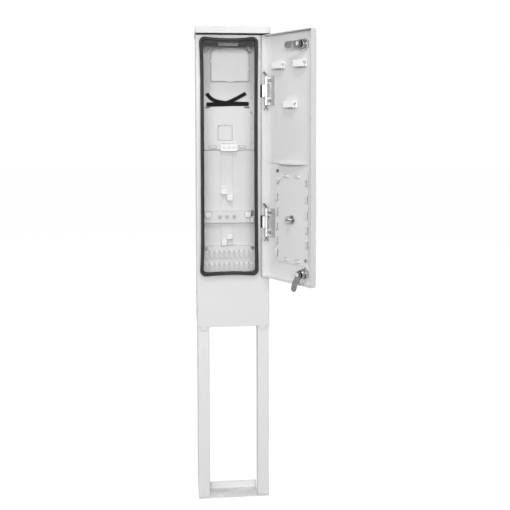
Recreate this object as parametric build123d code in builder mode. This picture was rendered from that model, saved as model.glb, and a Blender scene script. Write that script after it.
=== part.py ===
from build123d import *
import os

# Roadside utility cabinet: a slim pedestal of folded sheet for fibre splices, on a frame set in the ground.
# Millimetres. +X points to the hinge side, +Y into the cabinet, +Z up. The origin is under the middle of the
# foot's crossbar. Depths are counted from the cabinet's front face. The door stands open.

# Shared
sheet = 1.5                     # housing and door sheet
bend = 2.5                      # outside radius of a folded edge
fit = 0.1                       # slack between pieces that are pushed together
running = 0.05                  # radial slack of a pin that turns
overrun = 4.0                   # how far a cut runs past the material
drive_share = 1.3               # length of a screw's cross recess, in head radii
drive_angle = 30.0

# Housing
body_width = 173.8
body_depth = 120.0
total_height = 1137.0
skirt_bottom = 422.0
opening_left_margin = 13.9      # lock side of the front frame
opening_right_margin = 33.0     # hinge side of the front frame
opening_bottom = 553.5
opening_top = 1108.0
opening_corner = 9.0
rebate_width = 21.4             # recess of the front frame in which the door's folded edge turns
rebate_depth = 5.0
rebate_below_door = 1.5
lug_width = 15.5
lug_drop = 9.0
lug_corner = 2.0
lug_inset = 15.5                # from the side of the housing to the middle of a lug

# Rain cap
cap_sheet = 1.0
cap_drop = 15.0
cap_overhang = 18.0
cap_slack = 0.2
cap_screw_radius = 2.0
cap_screw_head_radius = 4.0
cap_screw_head = 2.2
cap_screw_length = 6.0
cap_screw_spacing = 100.0

# Ground frame
leg_sheet = 2.0
leg_width = 27.0
leg_back_gap = 3.0              # back wall to the end of a leg's outer wall
leg_return = 28.0
leg_lap = 93.0                  # how far the legs go up into the skirt
crossbar_depth = 46.0
crossbar_upstand = 19.0
bolt_radius = 3.0
bolt_head_radius = 6.0
bolt_head = 1.0
bolt_length = 14.0
bolt_rises = (26.0, 70.0)       # from the skirt's lower edge
nut_flats = 10.0
nut_thickness = 5.0

# Gasket
grip = 3.6                      # cover of the trim on the front frame
trim_wall = 2.6
trim_back = 1.6                 # the thinner leg behind the front frame
trim_lip = 1.6                  # rubber inside the opening's edge
bulb_reach = 6.5                # opening's edge to the outside of the bulb, at the corners
bulb_width = 7.8
bulb_height = 10.0
bulb_round = 3.4
bulb_corner = 14.0
bulb_sag = 2.6                  # the sides of the bulb pull in between the corners

# Door
door_thickness = 16.0
door_gap = 0.4                  # folded rim to the front face when the door is shut
door_cover_top = 11.0           # door past the opening, above
door_cover_bottom = 10.0        # and below
open_angle = 122.7

# Hinges
hinge_inset = 8.0               # side of the housing to the pin
hinge_forward = 8.0             # front face to the pin
hinge_margin = 131.0            # end of the door to the middle of a hinge
pin_radius = 2.2
pin_bend_rise = 8.0
pin_bend_reach = 6.0
pin_neck = 3.0
pin_tail = 5.0
knuckle_radius = 4.2
arm_knuckle_length = 28.5
end_knuckle_length = 19.5
knuckle_gap = 0.4
arm_thickness = 2.5
arm_offset = 9.0                # pin to the outer face of the arm
arm_drop = 1.5                  # arm's elbow in front of the pin
arm_foot_width = 14.0
slot_side_slack = 4.2
slot_end_slack = 1.0
notch_end_slack = 1.6
leaf_thickness = 2.0
leaf_width = 25.0
leaf_window_edge = 6.0
leaf_screw_edge = 10.0
leaf_screw_spacing = 48.0
leaf_screw_radius = 2.0
leaf_screw_head_radius = 3.6
leaf_screw_head = 2.0

# Locks
lock_inset = 35.0               # free edge of the door to the lock
upper_lock_drop = 32.0          # top of the door to the upper lock
lower_lock_rise = 26.5          # bottom of the door to the lower lock
lock_flange_radius = 14.0
lock_flange = 3.0
lock_barrel_radius = 9.5
lock_barrel_length = 16.5
lock_nut_flats = 23.5
lock_nut_thickness = 6.5
lock_core_radius = 5.5
lock_core_recess = 1.0
key_side = 7.0
key_depth = 6.0
cam_square = 7.5
cam_width = 15.0
cam_thickness = 3.0
cam_reach = 44.0
cam_step = 2.8
cam_hub_length = 17.0
cam_ramp = 3.5
cam_standoff = 2.0
cam_screw_flats = 9.0
cam_screw_head = 3.6
cam_screw_radius = 2.4
cam_screw_length = 9.0
lower_cam_angle = 22.0          # lower cam as it hangs, away from straight down

# Storage plate on the door
plate_sheet = 1.5
plate_free_margin = 23.5        # free edge of the door to the plate
plate_width = 112.5
plate_rise = 42.5               # bottom of the door to the plate
plate_height = 221.0
plate_corner = 6.0
bridge_length = 20.0
bridge_width = 5.0
bridge_rise = 3.2
bridge_sheet = 1.0
bridge_ramp = 3.0
bridge_edge = 4.5               # plate's edge to the row of bridges
bridge_column_shares = (0.33, 0.68)
bridge_side_shares = (0.09, 0.225, 0.375, 0.53, 0.69)
bridge_top_share = 0.92
bridge_bottom_share = 0.036
bridge_slant_share = 0.855
bridge_slant_length = 16.0
bridge_slants = (-57, 66)       # degrees
knob_height_share = 0.464
plate_screw_radius = 2.0
plate_screw_head_radius = 3.8
plate_screw_head = 2.4
plate_screw_inset = 7.5
knob_flange_radius = 9.5
knob_flange = 2.5
knob_neck_radius = 5.0
knob_neck = 5.0
knob_head_radius = 8.5
knob_head = 7.0
knob_chamfer = 1.0
knob_slot = 2.0
knob_slot_depth = 2.5
knob_stud_radius = 2.5

# Shelf on the door
shelf_sheet = 1.2
shelf_rise = 273.5              # bottom of the door to the shelf
shelf_leg = 9.0
shelf_reach = 15.0
shelf_chord = 106.0
shelf_tilt = 5.0
shelf_hinge_margin = 3.0
shelf_free_margin = 25.0

# Clips on the door
door_clip_width = 34.0
door_clip_height = 16.0
door_clip_reach = 13.5
door_clip_bore = 4.2
door_clip_corner = 1.5
door_clip_slit = 2.5
door_clip_spots = ((34.0, 501.5), (-40.6, 501.4), (-7.1, 410.5))     # from the middle and bottom of the door

# Mounting plates
rack_width = 134.0
rack_middle = -2.7
rack_depth = 14.5               # back wall to the front of the plates
rack_sheet = 1.2
rack_head = 4.0                 # top of the opening to the upper plate
upper_rack_height = 259.0
lower_rack_height = 311.5
rack_gap = 1.5                  # between the two plates
rack_hole_radius = 1.8
rack_hole_edge = 10.4
rack_hole_pitch = 38.6
rack_hole_rise = 15.5           # these rises are from the lower edge of the upper plate
rack_hole_count = 4
strap_slot_width = 14.0
strap_slot_height = 3.0
strap_slot_rise = 106.0
strap_slot_left = -56.1
strap_slot_right = 42.9
knockout_width = 36.0
knockout_height = 37.5
knockout_left = -30.4
knockout_rise = 23.3
knockout_groove = 0.7
knockout_tab_share = 0.17
rib_width = 29.5
rib_left = -23.7
rib_rise = 1.0
rib_start = 72.0                # lower edge of the lower plate to the rib

# Splice tray
tray_width = 95.0
tray_middle = -0.1
tray_head = 2.5                 # top of the upper plate to the tray
tray_height = 85.5
tray_wall = 1.5
tray_depth = 8.0
tray_corner = 20.0
tray_foot_corner = 4.0
lid_thickness = 1.6
lid_margin = 1.4
lid_gap = 0.3
lid_tab_width = 30.0
lid_tab_drop = 3.4
lid_hinge_drop = 3.5            # these drops are from the top of the tray
lid_ear_gap = 0.4
lid_barrel_radius = 2.2
lid_barrel_length = 40.0
lid_pin_radius = 1.3
lid_pin_length = 2.6
ear_thickness = 3.0
latch_width = 2.4
latch_height = 6.0
latch_left_drop = 35.9
latch_right_drop = 53.7
spool_radius = 22.0
spool_wall = 1.6
holder_width = 34.0
holder_height = 22.0
holder_base = 1.6
holder_rib = 1.4
holder_rise = 3.4
holder_rib_count = 7

# Fibre guides beside the tray
guide_length = 17.0
guide_wall = 1.6
guide_gap = 4.6
guide_reach = 7.0
guide_base = 1.5
guide_drop = 5.0                # top of the tray to the middle of a guide
guide_left = -58.5
guide_right = 48.0

# Brackets
hanger_width = 50.0
hanger_middle = -4.6
hanger_height = 8.5
hanger_reach = 7.0
hanger_notch = 5.0
hanger_pitch = 15.0
bracket_sheet = 1.5
tie_width = 42.5
tie_middle = -3.5
tie_rise = -3.5                  # these rises are from the lower edge of the upper plate
tie_height = 18.0
tie_reach = 12.0
tie_hole_radius = 1.9
tie_hole_pitch = 12.4
tie_corner = 2.5
lance_length = 20.0
lance_left = -43.1
lance_right = 30.4
lance_rise = 7.0

# Hook-and-loop strap
strap_width = 11.0
strap_thickness = 2.4
strap_left = -58.6
strap_right = 47.4
strap_rise = 114.5              # these rises are from the lower edge of the upper plate
strap_cross = -10.1
strap_cross_rise = 119.0
strap_arm_left = -58.6
strap_arm_right = 39.4
strap_arm_rise = 138.5
strap_arm_share = 0.9          # width of the loose arms to the band's

# Cable clips on the lower plate
clip_side = 14.2
clip_height = 15.5
clip_reach = 13.0
clip_bore = 4.0
clip_slit = 2.2
clip_corner = 1.2
clip_rises = (209.0, 193.0, 95.0, 79.5)     # from the lower edge of the lower plate

# Clamp bar
bar_width = 127.0
bar_middle = -4.6
bar_rise = 129.5                # lower edge of the lower plate to the bar
bar_height = 29.0
bar_reach = 11.0
bar_screw_pitch = 18.2
bar_screw_middle = -8.9
bar_screw_radius = 2.0
bar_screw_head_radius = 3.9
bar_screw_head = 2.6
bar_notch = 7.0                 # width of the cut in the bar's end, and of the port behind it
block_width = 13.6
block_height = 13.0
block_reach = 6.5
block_left = -56.1
block_right = 43.1
block_corner = 1.2
end_block_middle = 53.6
end_block_width = 8.0
end_block_height = 13.0

# Duct comb
comb_width = 132.0
comb_middle = -3.2
comb_rise = 4.0                 # lower edge of the lower plate to the comb
comb_height = 66.5
comb_reach = 12.0
tongue_count = 10
tongue_pitch = 12.5
tongue_middle = -4.3
tongue_width = 7.4
tongue_length = 21.0
tongue_rise = 4.0
tongue_sheet = 1.5
tongue_bend = 5.0
tongue_drops = (9.0, 41.0)      # top of the comb to the two rows of tongues
comb_screw_radius = 2.0
comb_screw_head_radius = 3.8
comb_screw_head = 2.4
comb_screw_edge = 4.4           # top of the comb to its screws
comb_screw_inset = 7.1          # end of the comb to its screws

# Worked out from the sizes above
inner_bend = bend - sheet
half_width = body_width / 2
housing_top = total_height - cap_sheet
cap_bottom = total_height - cap_drop
cap_screw_places = [(side * cap_screw_spacing / 2, cap_bottom + cap_drop / 2) for side in (-1, 1)]
leg_depth = body_depth - 2 * sheet - leg_back_gap
leg_top = skirt_bottom + leg_lap
bolt_places = [(body_depth / 2, skirt_bottom + rise) for rise in bolt_rises]
door_bottom = opening_bottom - door_cover_bottom
door_top = opening_top + door_cover_top
door_height = door_top - door_bottom
door_z = (door_top + door_bottom) / 2
rebate_bottom = door_bottom - rebate_below_door
opening_left = opening_left_margin - half_width
opening_right = half_width - opening_right_margin
opening_width = opening_right - opening_left
opening_height = opening_top - opening_bottom
opening_x = (opening_left + opening_right) / 2
opening_z = (opening_bottom + opening_top) / 2
hinge_x = half_width - hinge_inset
hinge_y = -hinge_forward
hinge_heights = {"upper": door_top - hinge_margin, "lower": door_bottom + hinge_margin}
lock_heights = {"upper": door_top - upper_lock_drop, "lower": door_bottom + lower_lock_rise}
skin_out = -door_gap - door_thickness
skin_in = skin_out + sheet
lock_x = lock_inset - half_width
cam_seat = skin_in + lock_barrel_length + cam_standoff
plate_face = skin_in + plate_sheet
plate_left = plate_free_margin - half_width
plate_x = plate_left + plate_width / 2
plate_bottom = door_bottom + plate_rise
plate_top = plate_bottom + plate_height
shelf_height = door_bottom + shelf_rise
rack_back = body_depth - sheet
rack_front = rack_back - rack_depth
upper_rack_top = opening_top - rack_head
upper_rack_bottom = upper_rack_top - upper_rack_height
lower_rack_top = upper_rack_bottom - rack_gap
lower_rack_bottom = lower_rack_top - lower_rack_height
bar_bottom = lower_rack_bottom + bar_rise
bar_end = bar_middle + bar_width / 2
foot_middle = sheet + crossbar_depth / 2

# The cabinet's own frame starts in its front face. The door's is drawn as if shut, and swings about the pins.
cabinet = Plane((0, -foot_middle, 0))
to_hinge = Location((hinge_x, hinge_y, 0))
swing = Location((0, 0, 0), (0, 0, open_angle))
door = Plane(cabinet.location * to_hinge * swing * to_hinge.inverse())
inwards = Axis(door.origin, door.y_dir)


def level(frame, height):
    """Horizontal plane of a frame, at a height."""
    return frame.offset(height)


def upright(frame, depth):
    """Plane that faces the front of a frame, at a depth: X across, Y up, normal towards the street."""
    return Plane(frame.from_local_coords((0, depth, 0)), x_dir=frame.x_dir, z_dir=-frame.y_dir)


def across(frame, place):
    """Plane square to the width of a frame: X runs into the cabinet, Y up."""
    return Plane(frame.from_local_coords((place, 0, 0)), x_dir=frame.y_dir, z_dir=frame.x_dir)


def bridge(frame, face, towards, place, height, angle, length, width, rise, material):
    """Lanced bridge on a sheet: its slot, then the strip over it. towards is -1 for the street side."""
    middle = frame.from_local_coords((place, face, height))
    outwards = frame.y_dir * towards
    along = frame.x_dir.rotate(Axis((0, 0, 0), frame.y_dir), -angle)
    side = Plane(middle, x_dir=along, z_dir=along.cross(outwards))
    slot = length - 2 * bridge_ramp
    with BuildSketch(side) as opening:
        with Locations((0, -overrun / 2)):
            Rectangle(slot, overrun)
    extrude(opening.sketch, amount=width / 2, both=True, mode=Mode.SUBTRACT)
    with BuildSketch(side) as strip:
        with BuildLine():
            Polyline(
                (-length / 2, 0),
                (bridge_ramp - length / 2, rise),
                (length / 2 - bridge_ramp, rise),
                (length / 2, 0),
                (length / 2 - material, 0),
                (length / 2 - bridge_ramp - material / 2, rise - material),
                (bridge_ramp + material / 2 - length / 2, rise - material),
                (material - length / 2, 0),
                close=True,
            )
        make_face()
    extrude(strip.sketch, amount=width / 2, both=True)


def screws(frame, face, facing, places, head_radius, head, shank_radius, length):
    """Group of equal pan-head screws, heads on a face of the frame: facing is 1 towards the street."""
    with BuildPart() as group:
        with BuildSketch(upright(frame, face)):
            with Locations(*places):
                Circle(head_radius)
        extrude(amount=facing * head)
        with BuildSketch(upright(frame, face - facing * head)):
            with Locations(*places):
                Rectangle(drive_share * head_radius, shank_radius / 2, rotation=drive_angle)
                Rectangle(drive_share * head_radius, shank_radius / 2, rotation=drive_angle + 90)
        extrude(amount=-facing * head / 2, mode=Mode.SUBTRACT)
        with BuildSketch(upright(frame, face)):
            with Locations(*places):
                Circle(shank_radius)
        extrude(amount=-facing * length)
    return group


# Housing: folded shell, front frame with the door opening, rebate on the hinge side, skirt with two lugs
with BuildPart() as housing:
    with BuildSketch(level(cabinet, skirt_bottom)):
        with Locations((0, body_depth / 2)):
            RectangleRounded(body_width, body_depth, bend)
    extrude(amount=housing_top - skirt_bottom)
    with BuildSketch(level(cabinet, rebate_bottom)):
        with Locations((half_width, 0)):
            Rectangle(2 * rebate_width, 2 * rebate_depth)
    extrude(amount=housing_top - rebate_bottom, mode=Mode.SUBTRACT)
    with BuildSketch(level(cabinet, skirt_bottom)):
        with Locations((0, body_depth / 2)):
            RectangleRounded(body_width - 2 * sheet, body_depth - 2 * sheet, inner_bend)
    extrude(amount=rebate_bottom - sheet - skirt_bottom, mode=Mode.SUBTRACT)
    with BuildSketch(level(cabinet, rebate_bottom - sheet)):
        with Locations((0, body_depth / 2)):
            RectangleRounded(body_width - 2 * sheet, body_depth - 2 * sheet, inner_bend)
        with Locations((half_width, 0)):
            Rectangle(2 * rebate_width + 2 * sheet, 2 * rebate_depth + 2 * sheet, mode=Mode.SUBTRACT)
    extrude(amount=housing_top - rebate_bottom, mode=Mode.SUBTRACT)
    with BuildSketch(upright(cabinet, sheet + overrun)):
        with Locations((opening_x, opening_z)):
            RectangleRounded(opening_width, opening_height, opening_corner)
    extrude(amount=sheet + 2 * overrun, mode=Mode.SUBTRACT)
    with BuildSketch(upright(cabinet, rebate_depth + sheet)):
        for height in hinge_heights.values():
            slot_right = hinge_x - arm_offset + arm_thickness + fit
            slot_width = arm_thickness + fit + slot_side_slack
            with Locations((slot_right - slot_width / 2, height)):
                Rectangle(slot_width, arm_knuckle_length + 2 * slot_end_slack)
    extrude(amount=sheet, mode=Mode.SUBTRACT)
    with BuildSketch(upright(cabinet, sheet)):
        with Locations((lug_inset - half_width, skirt_bottom), (half_width - lug_inset, skirt_bottom)):
            RectangleRounded(lug_width, 2 * lug_drop, lug_corner)
    extrude(amount=sheet)
    with BuildSketch(across(cabinet, -half_width)):
        with Locations(*bolt_places):
            Circle(bolt_radius + fit)
    extrude(amount=body_width, mode=Mode.SUBTRACT)
    with BuildSketch(upright(cabinet, body_depth)):
        with Locations(*cap_screw_places):
            Circle(cap_screw_radius + fit)
    extrude(amount=sheet, mode=Mode.SUBTRACT)

# Rain cap: folded tray turned over, with an overhang that covers the shut door
cap_width = body_width + 2 * cap_slack + 2 * cap_sheet
cap_back = body_depth + cap_slack + cap_sheet
cap_depth = cap_overhang + cap_back
with BuildPart() as rain_cap:
    with BuildSketch(level(cabinet, cap_bottom)):
        with Locations((0, cap_back - cap_depth / 2)):
            RectangleRounded(cap_width, cap_depth, bend)
    extrude(amount=cap_drop)
    fillet(rain_cap.faces().sort_by(Axis.Z)[-1].edges(), cap_sheet)
    with BuildSketch(level(cabinet, cap_bottom)):
        with Locations((0, cap_back - cap_depth / 2)):
            RectangleRounded(cap_width - 2 * cap_sheet, cap_depth - 2 * cap_sheet, inner_bend)
    extrude(amount=cap_drop - cap_sheet, mode=Mode.SUBTRACT)
    with BuildSketch(upright(cabinet, cap_back)):
        with Locations(*cap_screw_places):
            Circle(cap_screw_radius + fit)
    extrude(amount=cap_sheet, mode=Mode.SUBTRACT)

cap_screws = screws(cabinet, cap_back, -1, cap_screw_places, cap_screw_head_radius, cap_screw_head,
                    cap_screw_radius, cap_screw_length)


# Ground frame: two folded legs with a deep outer wall and a short inner return, and an angle across the foot
def ground_leg(side):
    outer = half_width - sheet
    with BuildPart() as leg:
        with BuildSketch(level(cabinet, 0)):
            with Locations((side * (outer - leg_width / 2), sheet + leg_sheet / 2)):
                Rectangle(leg_width, leg_sheet)
            with Locations((side * (outer - leg_sheet / 2), sheet + leg_depth / 2)):
                Rectangle(leg_sheet, leg_depth)
            with Locations((side * (outer - leg_width + leg_sheet / 2), sheet + leg_return / 2)):
                Rectangle(leg_sheet, leg_return)
        extrude(amount=leg_top)
        fillet(leg.edges().filter_by(Axis.Z).group_by(Axis.Y)[0], leg_sheet)
        with BuildSketch(across(cabinet, side * outer)):
            with Locations(*bolt_places):
                Circle(bolt_radius + fit)
        extrude(amount=-side * leg_sheet, mode=Mode.SUBTRACT)
    return leg


leg_left = ground_leg(-1)
leg_right = ground_leg(1)

crossbar_half = half_width - sheet - leg_width
with BuildPart() as ground_crossbar:
    with BuildSketch(across(cabinet, -crossbar_half)):
        with Locations((sheet + crossbar_depth / 2, leg_sheet / 2)):
            Rectangle(crossbar_depth, leg_sheet)
        with Locations((sheet + crossbar_depth - leg_sheet / 2, crossbar_upstand / 2)):
            Rectangle(leg_sheet, crossbar_upstand)
    extrude(amount=2 * crossbar_half)
    fillet(ground_crossbar.edges().filter_by(Axis.X).group_by(Axis.Z)[0].sort_by(Axis.Y)[-1], leg_sheet)

with BuildPart() as frame_bolts:
    with BuildSketch(across(cabinet, half_width)):
        with Locations(*bolt_places):
            Circle(bolt_head_radius)
    extrude(amount=bolt_head)
    fillet(frame_bolts.faces().group_by(Axis.X)[-1].edges(), bolt_head - fit)
    with BuildSketch(across(cabinet, half_width)):
        with Locations(*bolt_places):
            Circle(bolt_radius)
    extrude(amount=-bolt_length)
    mirror(about=Plane.YZ)

with BuildPart() as frame_nuts:
    with BuildSketch(across(cabinet, half_width - sheet - leg_sheet)):
        with Locations(*bolt_places):
            RegularPolygon(nut_flats / 2, 6, major_radius=False)
            Circle(bolt_radius + fit, mode=Mode.SUBTRACT)
    extrude(amount=-nut_thickness)
    mirror(about=Plane.YZ)

# Door gasket: push-on trim on the opening's edge, with a hollow-looking bulb that swells at the corners
with BuildPart() as door_gasket:
    with BuildSketch(upright(cabinet, -trim_wall / 2)) as bulb_ring:
        wide = opening_width / 2 + bulb_reach
        high = opening_height / 2 + bulb_reach
        with BuildLine():
            Polyline(
                (opening_x - wide, opening_z + high),
                (opening_x, opening_z + high - bulb_sag),
                (opening_x + wide, opening_z + high),
                (opening_x + wide - bulb_sag, opening_z),
                (opening_x + wide, opening_z - high),
                (opening_x, opening_z - high + bulb_sag),
                (opening_x - wide, opening_z - high),
                (opening_x - wide + bulb_sag, opening_z),
                close=True,
            )
        make_face()
        corners = bulb_ring.vertices().filter_by(lambda point: abs(point.X - opening_x) > wide - fit)
        fillet(corners, bulb_corner)
        offset(amount=-bulb_width, mode=Mode.SUBTRACT)
    extrude(amount=bulb_height + trim_wall / 2)
    fillet(door_gasket.faces().sort_by(Axis.Y)[0].edges(), bulb_round)
    with BuildSketch(upright(cabinet, sheet + trim_back)):
        with Locations((opening_x, opening_z)):
            RectangleRounded(opening_width + 2 * grip, opening_height + 2 * grip, opening_corner + grip)
            RectangleRounded(opening_width - 2 * trim_lip, opening_height - 2 * trim_lip,
                             opening_corner - trim_lip, mode=Mode.SUBTRACT)
    extrude(amount=sheet + trim_back + trim_wall)
    with BuildSketch(upright(cabinet, sheet + fit)):
        with Locations((opening_x, opening_z)):
            RectangleRounded(opening_width + 4 * grip, opening_height + 4 * grip, opening_corner + grip)
            RectangleRounded(opening_width - 2 * fit, opening_height - 2 * fit,
                             opening_corner - fit, mode=Mode.SUBTRACT)
    extrude(amount=sheet + 2 * fit, mode=Mode.SUBTRACT)


# Mounting plates: shallow folded channels on the back wall
def mounting_plate(bottom, top):
    with BuildPart() as rack:
        with BuildSketch(level(cabinet, bottom)):
            with Locations((rack_middle, rack_front + (rack_back - rack_front) / 2)):
                Rectangle(rack_width, rack_back - rack_front)
            with Locations((rack_middle, rack_front + rack_sheet + (rack_back - rack_front) / 2)):
                Rectangle(rack_width - 2 * rack_sheet, rack_back - rack_front, mode=Mode.SUBTRACT)
        extrude(amount=top - bottom)
        fillet(rack.edges().filter_by(Axis.Z).group_by(Axis.Y)[0], rack_sheet)
    return rack


strap_slot_level = upper_rack_bottom + strap_slot_rise
knockout_x = knockout_left + knockout_width / 2
knockout_z = upper_rack_bottom + knockout_rise + knockout_height / 2
upper_base = mounting_plate(upper_rack_bottom, upper_rack_top)
with BuildPart() as upper_mounting_plate:
    add(upper_base.part)
    with BuildSketch(upright(cabinet, rack_front + rack_sheet)):
        with Locations((strap_slot_left, strap_slot_level), (strap_slot_right, strap_slot_level)):
            SlotOverall(strap_slot_width, strap_slot_height)
        for row in range(rack_hole_count):
            hole_z = upper_rack_bottom + rack_hole_rise + row * rack_hole_pitch
            with Locations((rack_middle + rack_width / 2 - rack_hole_edge, hole_z)):
                Circle(rack_hole_radius)
        with Locations((knockout_x, knockout_z)):
            Rectangle(knockout_width, knockout_height)
            Rectangle(knockout_width - 2 * knockout_groove, knockout_height - 2 * knockout_groove,
                      mode=Mode.SUBTRACT)
    extrude(amount=rack_sheet, mode=Mode.SUBTRACT)
    with BuildSketch(upright(cabinet, rack_front + rack_sheet)):
        with Locations((knockout_x, knockout_z)):
            Rectangle(knockout_width, knockout_height * knockout_tab_share)
            Rectangle(knockout_width * knockout_tab_share, knockout_height)
    extrude(amount=rack_sheet / 2)
    for place in (lance_left, lance_right):
        bridge(cabinet, rack_front, -1, place, upper_rack_bottom + lance_rise, 0, lance_length,
               bridge_width, bridge_rise, bridge_sheet)

rib_bottom = lower_rack_bottom + rib_start
lower_base = mounting_plate(lower_rack_bottom, lower_rack_top)
with BuildPart() as lower_mounting_plate:
    add(lower_base.part)
    with BuildSketch(upright(cabinet, rack_front)):
        with Locations((rib_left + rib_width / 2, (rib_bottom + lower_rack_top) / 2)):
            Rectangle(rib_width, lower_rack_top - rib_bottom)
    extrude(amount=rib_rise)
    with BuildSketch(upright(cabinet, rack_front + rack_sheet)):
        with Locations((bar_end - bar_notch / 2, bar_bottom + bar_height - bar_height / 4)):
            Rectangle(bar_notch, bar_height / 2)
    extrude(amount=rack_sheet, mode=Mode.SUBTRACT)

# Splice tray: moulded pan with a fibre spool, ears for the lid and two side latches
tray_top = upper_rack_top - tray_head
tray_bottom = tray_top - tray_height
tray_z = (tray_top + tray_bottom) / 2
lid_hinge_height = tray_top - lid_hinge_drop
tray_rim = rack_front - tray_depth
lid_axis_y = tray_rim - lid_gap - lid_thickness / 2
ear_x = lid_barrel_length / 2 + fit + ear_thickness / 2


def tray_outline(shrink):
    """Tray or lid outline, with large upper and small lower corners, drawn in the open sketch."""
    with BuildSketch(upright(cabinet, rack_front), mode=Mode.PRIVATE) as outline:
        with Locations((tray_middle, tray_z)):
            Rectangle(tray_width - 2 * shrink, tray_height - 2 * shrink)
        fillet(outline.vertices().group_by(Axis.Y)[-1], tray_corner - shrink)
        fillet(outline.vertices().group_by(Axis.Y)[0], tray_foot_corner - shrink)
    return outline.sketch


with BuildPart() as splice_tray:
    extrude(tray_outline(0), amount=tray_depth)
    hollow = tray_outline(tray_wall).moved(Location((0, -tray_wall, 0)))
    extrude(hollow, amount=tray_depth, mode=Mode.SUBTRACT)
    with BuildSketch(upright(cabinet, rack_front - tray_wall)):
        with Locations((tray_middle, tray_z)):
            Circle(spool_radius)
            Circle(spool_radius - spool_wall, mode=Mode.SUBTRACT)
    extrude(amount=tray_depth - 2 * tray_wall)
    with BuildSketch(across(cabinet, tray_middle)):
        with Locations((lid_axis_y, lid_hinge_height)):
            Circle(lid_barrel_radius)
        with Locations(((lid_axis_y + rack_front) / 2, lid_hinge_height)):
            Rectangle(rack_front - lid_axis_y, 2 * lid_barrel_radius)
    extrude(amount=ear_x + ear_thickness / 2, both=True)
    with BuildSketch(across(cabinet, tray_middle)):
        with Locations((lid_axis_y, lid_hinge_height)):
            Rectangle(2 * tray_depth, 4 * lid_barrel_radius)
    extrude(amount=ear_x - ear_thickness / 2, both=True, mode=Mode.SUBTRACT)
    with BuildSketch(across(cabinet, tray_middle)):
        with Locations((lid_axis_y, lid_hinge_height)):
            Circle(lid_pin_radius + running)
    extrude(amount=ear_x + ear_thickness, both=True, mode=Mode.SUBTRACT)
    with BuildSketch(upright(cabinet, rack_front)):
        with Locations((tray_middle - (tray_width + latch_width) / 2, tray_top - latch_left_drop),
                       (tray_middle + (tray_width + latch_width) / 2, tray_top - latch_right_drop)):
            Rectangle(latch_width, latch_height)
    extrude(amount=tray_depth)

with BuildPart() as splice_holder:
    with BuildSketch(upright(cabinet, rack_front - tray_wall)):
        with Locations((tray_middle, tray_z)):
            Rectangle(holder_width, holder_height)
    extrude(amount=holder_base)
    with BuildSketch(upright(cabinet, rack_front - tray_wall - holder_base)):
        with Locations((tray_middle, tray_z)):
            with GridLocations(0, (holder_height - holder_rib) / (holder_rib_count - 1), 1, holder_rib_count):
                Rectangle(holder_width, holder_rib)
    extrude(amount=holder_rise)

with BuildPart() as tray_lid:
    lid_face = upright(cabinet, tray_rim - lid_gap)
    lid_top = lid_hinge_height - lid_barrel_radius - lid_ear_gap
    with BuildSketch(lid_face) as lid_sheet:
        lid_width = tray_width - 2 * lid_margin
        lid_low = tray_bottom + lid_margin
        with Locations((tray_middle, (lid_low + lid_top) / 2)):
            Rectangle(lid_width, lid_top - lid_low)
        fillet(lid_sheet.vertices().group_by(Axis.Y)[-1], tray_corner - lid_margin)
        with Locations((tray_middle, (lid_low + lid_hinge_height) / 2)):
            Rectangle(lid_barrel_length, lid_hinge_height - lid_low)
        with BuildLine():
            Line((tray_middle - lid_tab_width / 2, lid_low), (tray_middle + lid_tab_width / 2, lid_low))
            ThreePointArc((tray_middle + lid_tab_width / 2, lid_low), (tray_middle, lid_low - lid_tab_drop),
                          (tray_middle - lid_tab_width / 2, lid_low))
        make_face()
    extrude(amount=lid_thickness)
    with BuildSketch(across(cabinet, tray_middle)):
        with Locations((lid_axis_y, lid_hinge_height)):
            Circle(lid_barrel_radius)
    extrude(amount=lid_barrel_length / 2, both=True)
    with BuildSketch(across(cabinet, tray_middle)):
        with Locations((lid_axis_y, lid_hinge_height)):
            Circle(lid_pin_radius)
    extrude(amount=lid_barrel_length / 2 + lid_pin_length, both=True)

# Fibre guides: a small base with two slanting walls, beside each upper corner of the tray
with BuildPart() as fibre_guides:
    for place, lean in ((guide_left, 1), (guide_right, -1)):
        guide_middle = cabinet.from_local_coords((place, rack_front, tray_top - guide_drop))
        slant = Plane(guide_middle, x_dir=(lean, 0, 1), z_dir=(0, -1, 0))
        with BuildSketch(slant):
            Rectangle(guide_length, guide_gap + 2 * guide_wall)
        extrude(amount=guide_base)
        with BuildSketch(slant):
            with GridLocations(0, guide_gap + guide_wall, 1, 2):
                RectangleRounded(guide_length, guide_wall, guide_wall / 3)
        extrude(amount=guide_reach)

# Tray hanger: angle with three notches in its lip
with BuildPart() as tray_hanger:
    with BuildSketch(upright(cabinet, rack_front - hanger_reach + bracket_sheet)):
        with Locations((hanger_middle, upper_rack_top + hanger_height / 2)):
            Rectangle(hanger_width, hanger_height)
        with Locations((hanger_middle, upper_rack_top + hanger_height)):
            with GridLocations(hanger_pitch, 0, 3, 1):
                Rectangle(hanger_notch, hanger_notch, mode=Mode.SUBTRACT)
    extrude(amount=bracket_sheet)
    with BuildSketch(level(cabinet, upper_rack_top)):
        with Locations((hanger_middle, rack_front - (hanger_reach - rack_sheet) / 2)):
            Rectangle(hanger_width, hanger_reach + rack_sheet)
    extrude(amount=bracket_sheet)

# Tie bracket: rounded plate with three holes, held off the mounting plate by a folded flange
tie_bottom = upper_rack_bottom + tie_rise
with BuildPart() as tie_bracket:
    with BuildSketch(upright(cabinet, rack_front - tie_reach + bracket_sheet)):
        with Locations((tie_middle, tie_bottom + tie_height / 2)):
            RectangleRounded(tie_width, tie_height, tie_corner)
            with GridLocations(tie_hole_pitch, 0, 3, 1):
                Circle(tie_hole_radius, mode=Mode.SUBTRACT)
    extrude(amount=bracket_sheet)
    with BuildSketch(level(cabinet, tie_bottom + tie_height - bracket_sheet)):
        with Locations((tie_middle, rack_front - tie_reach / 2)):
            Rectangle(tie_width - 2 * tie_corner, tie_reach)
    extrude(amount=bracket_sheet)

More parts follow.
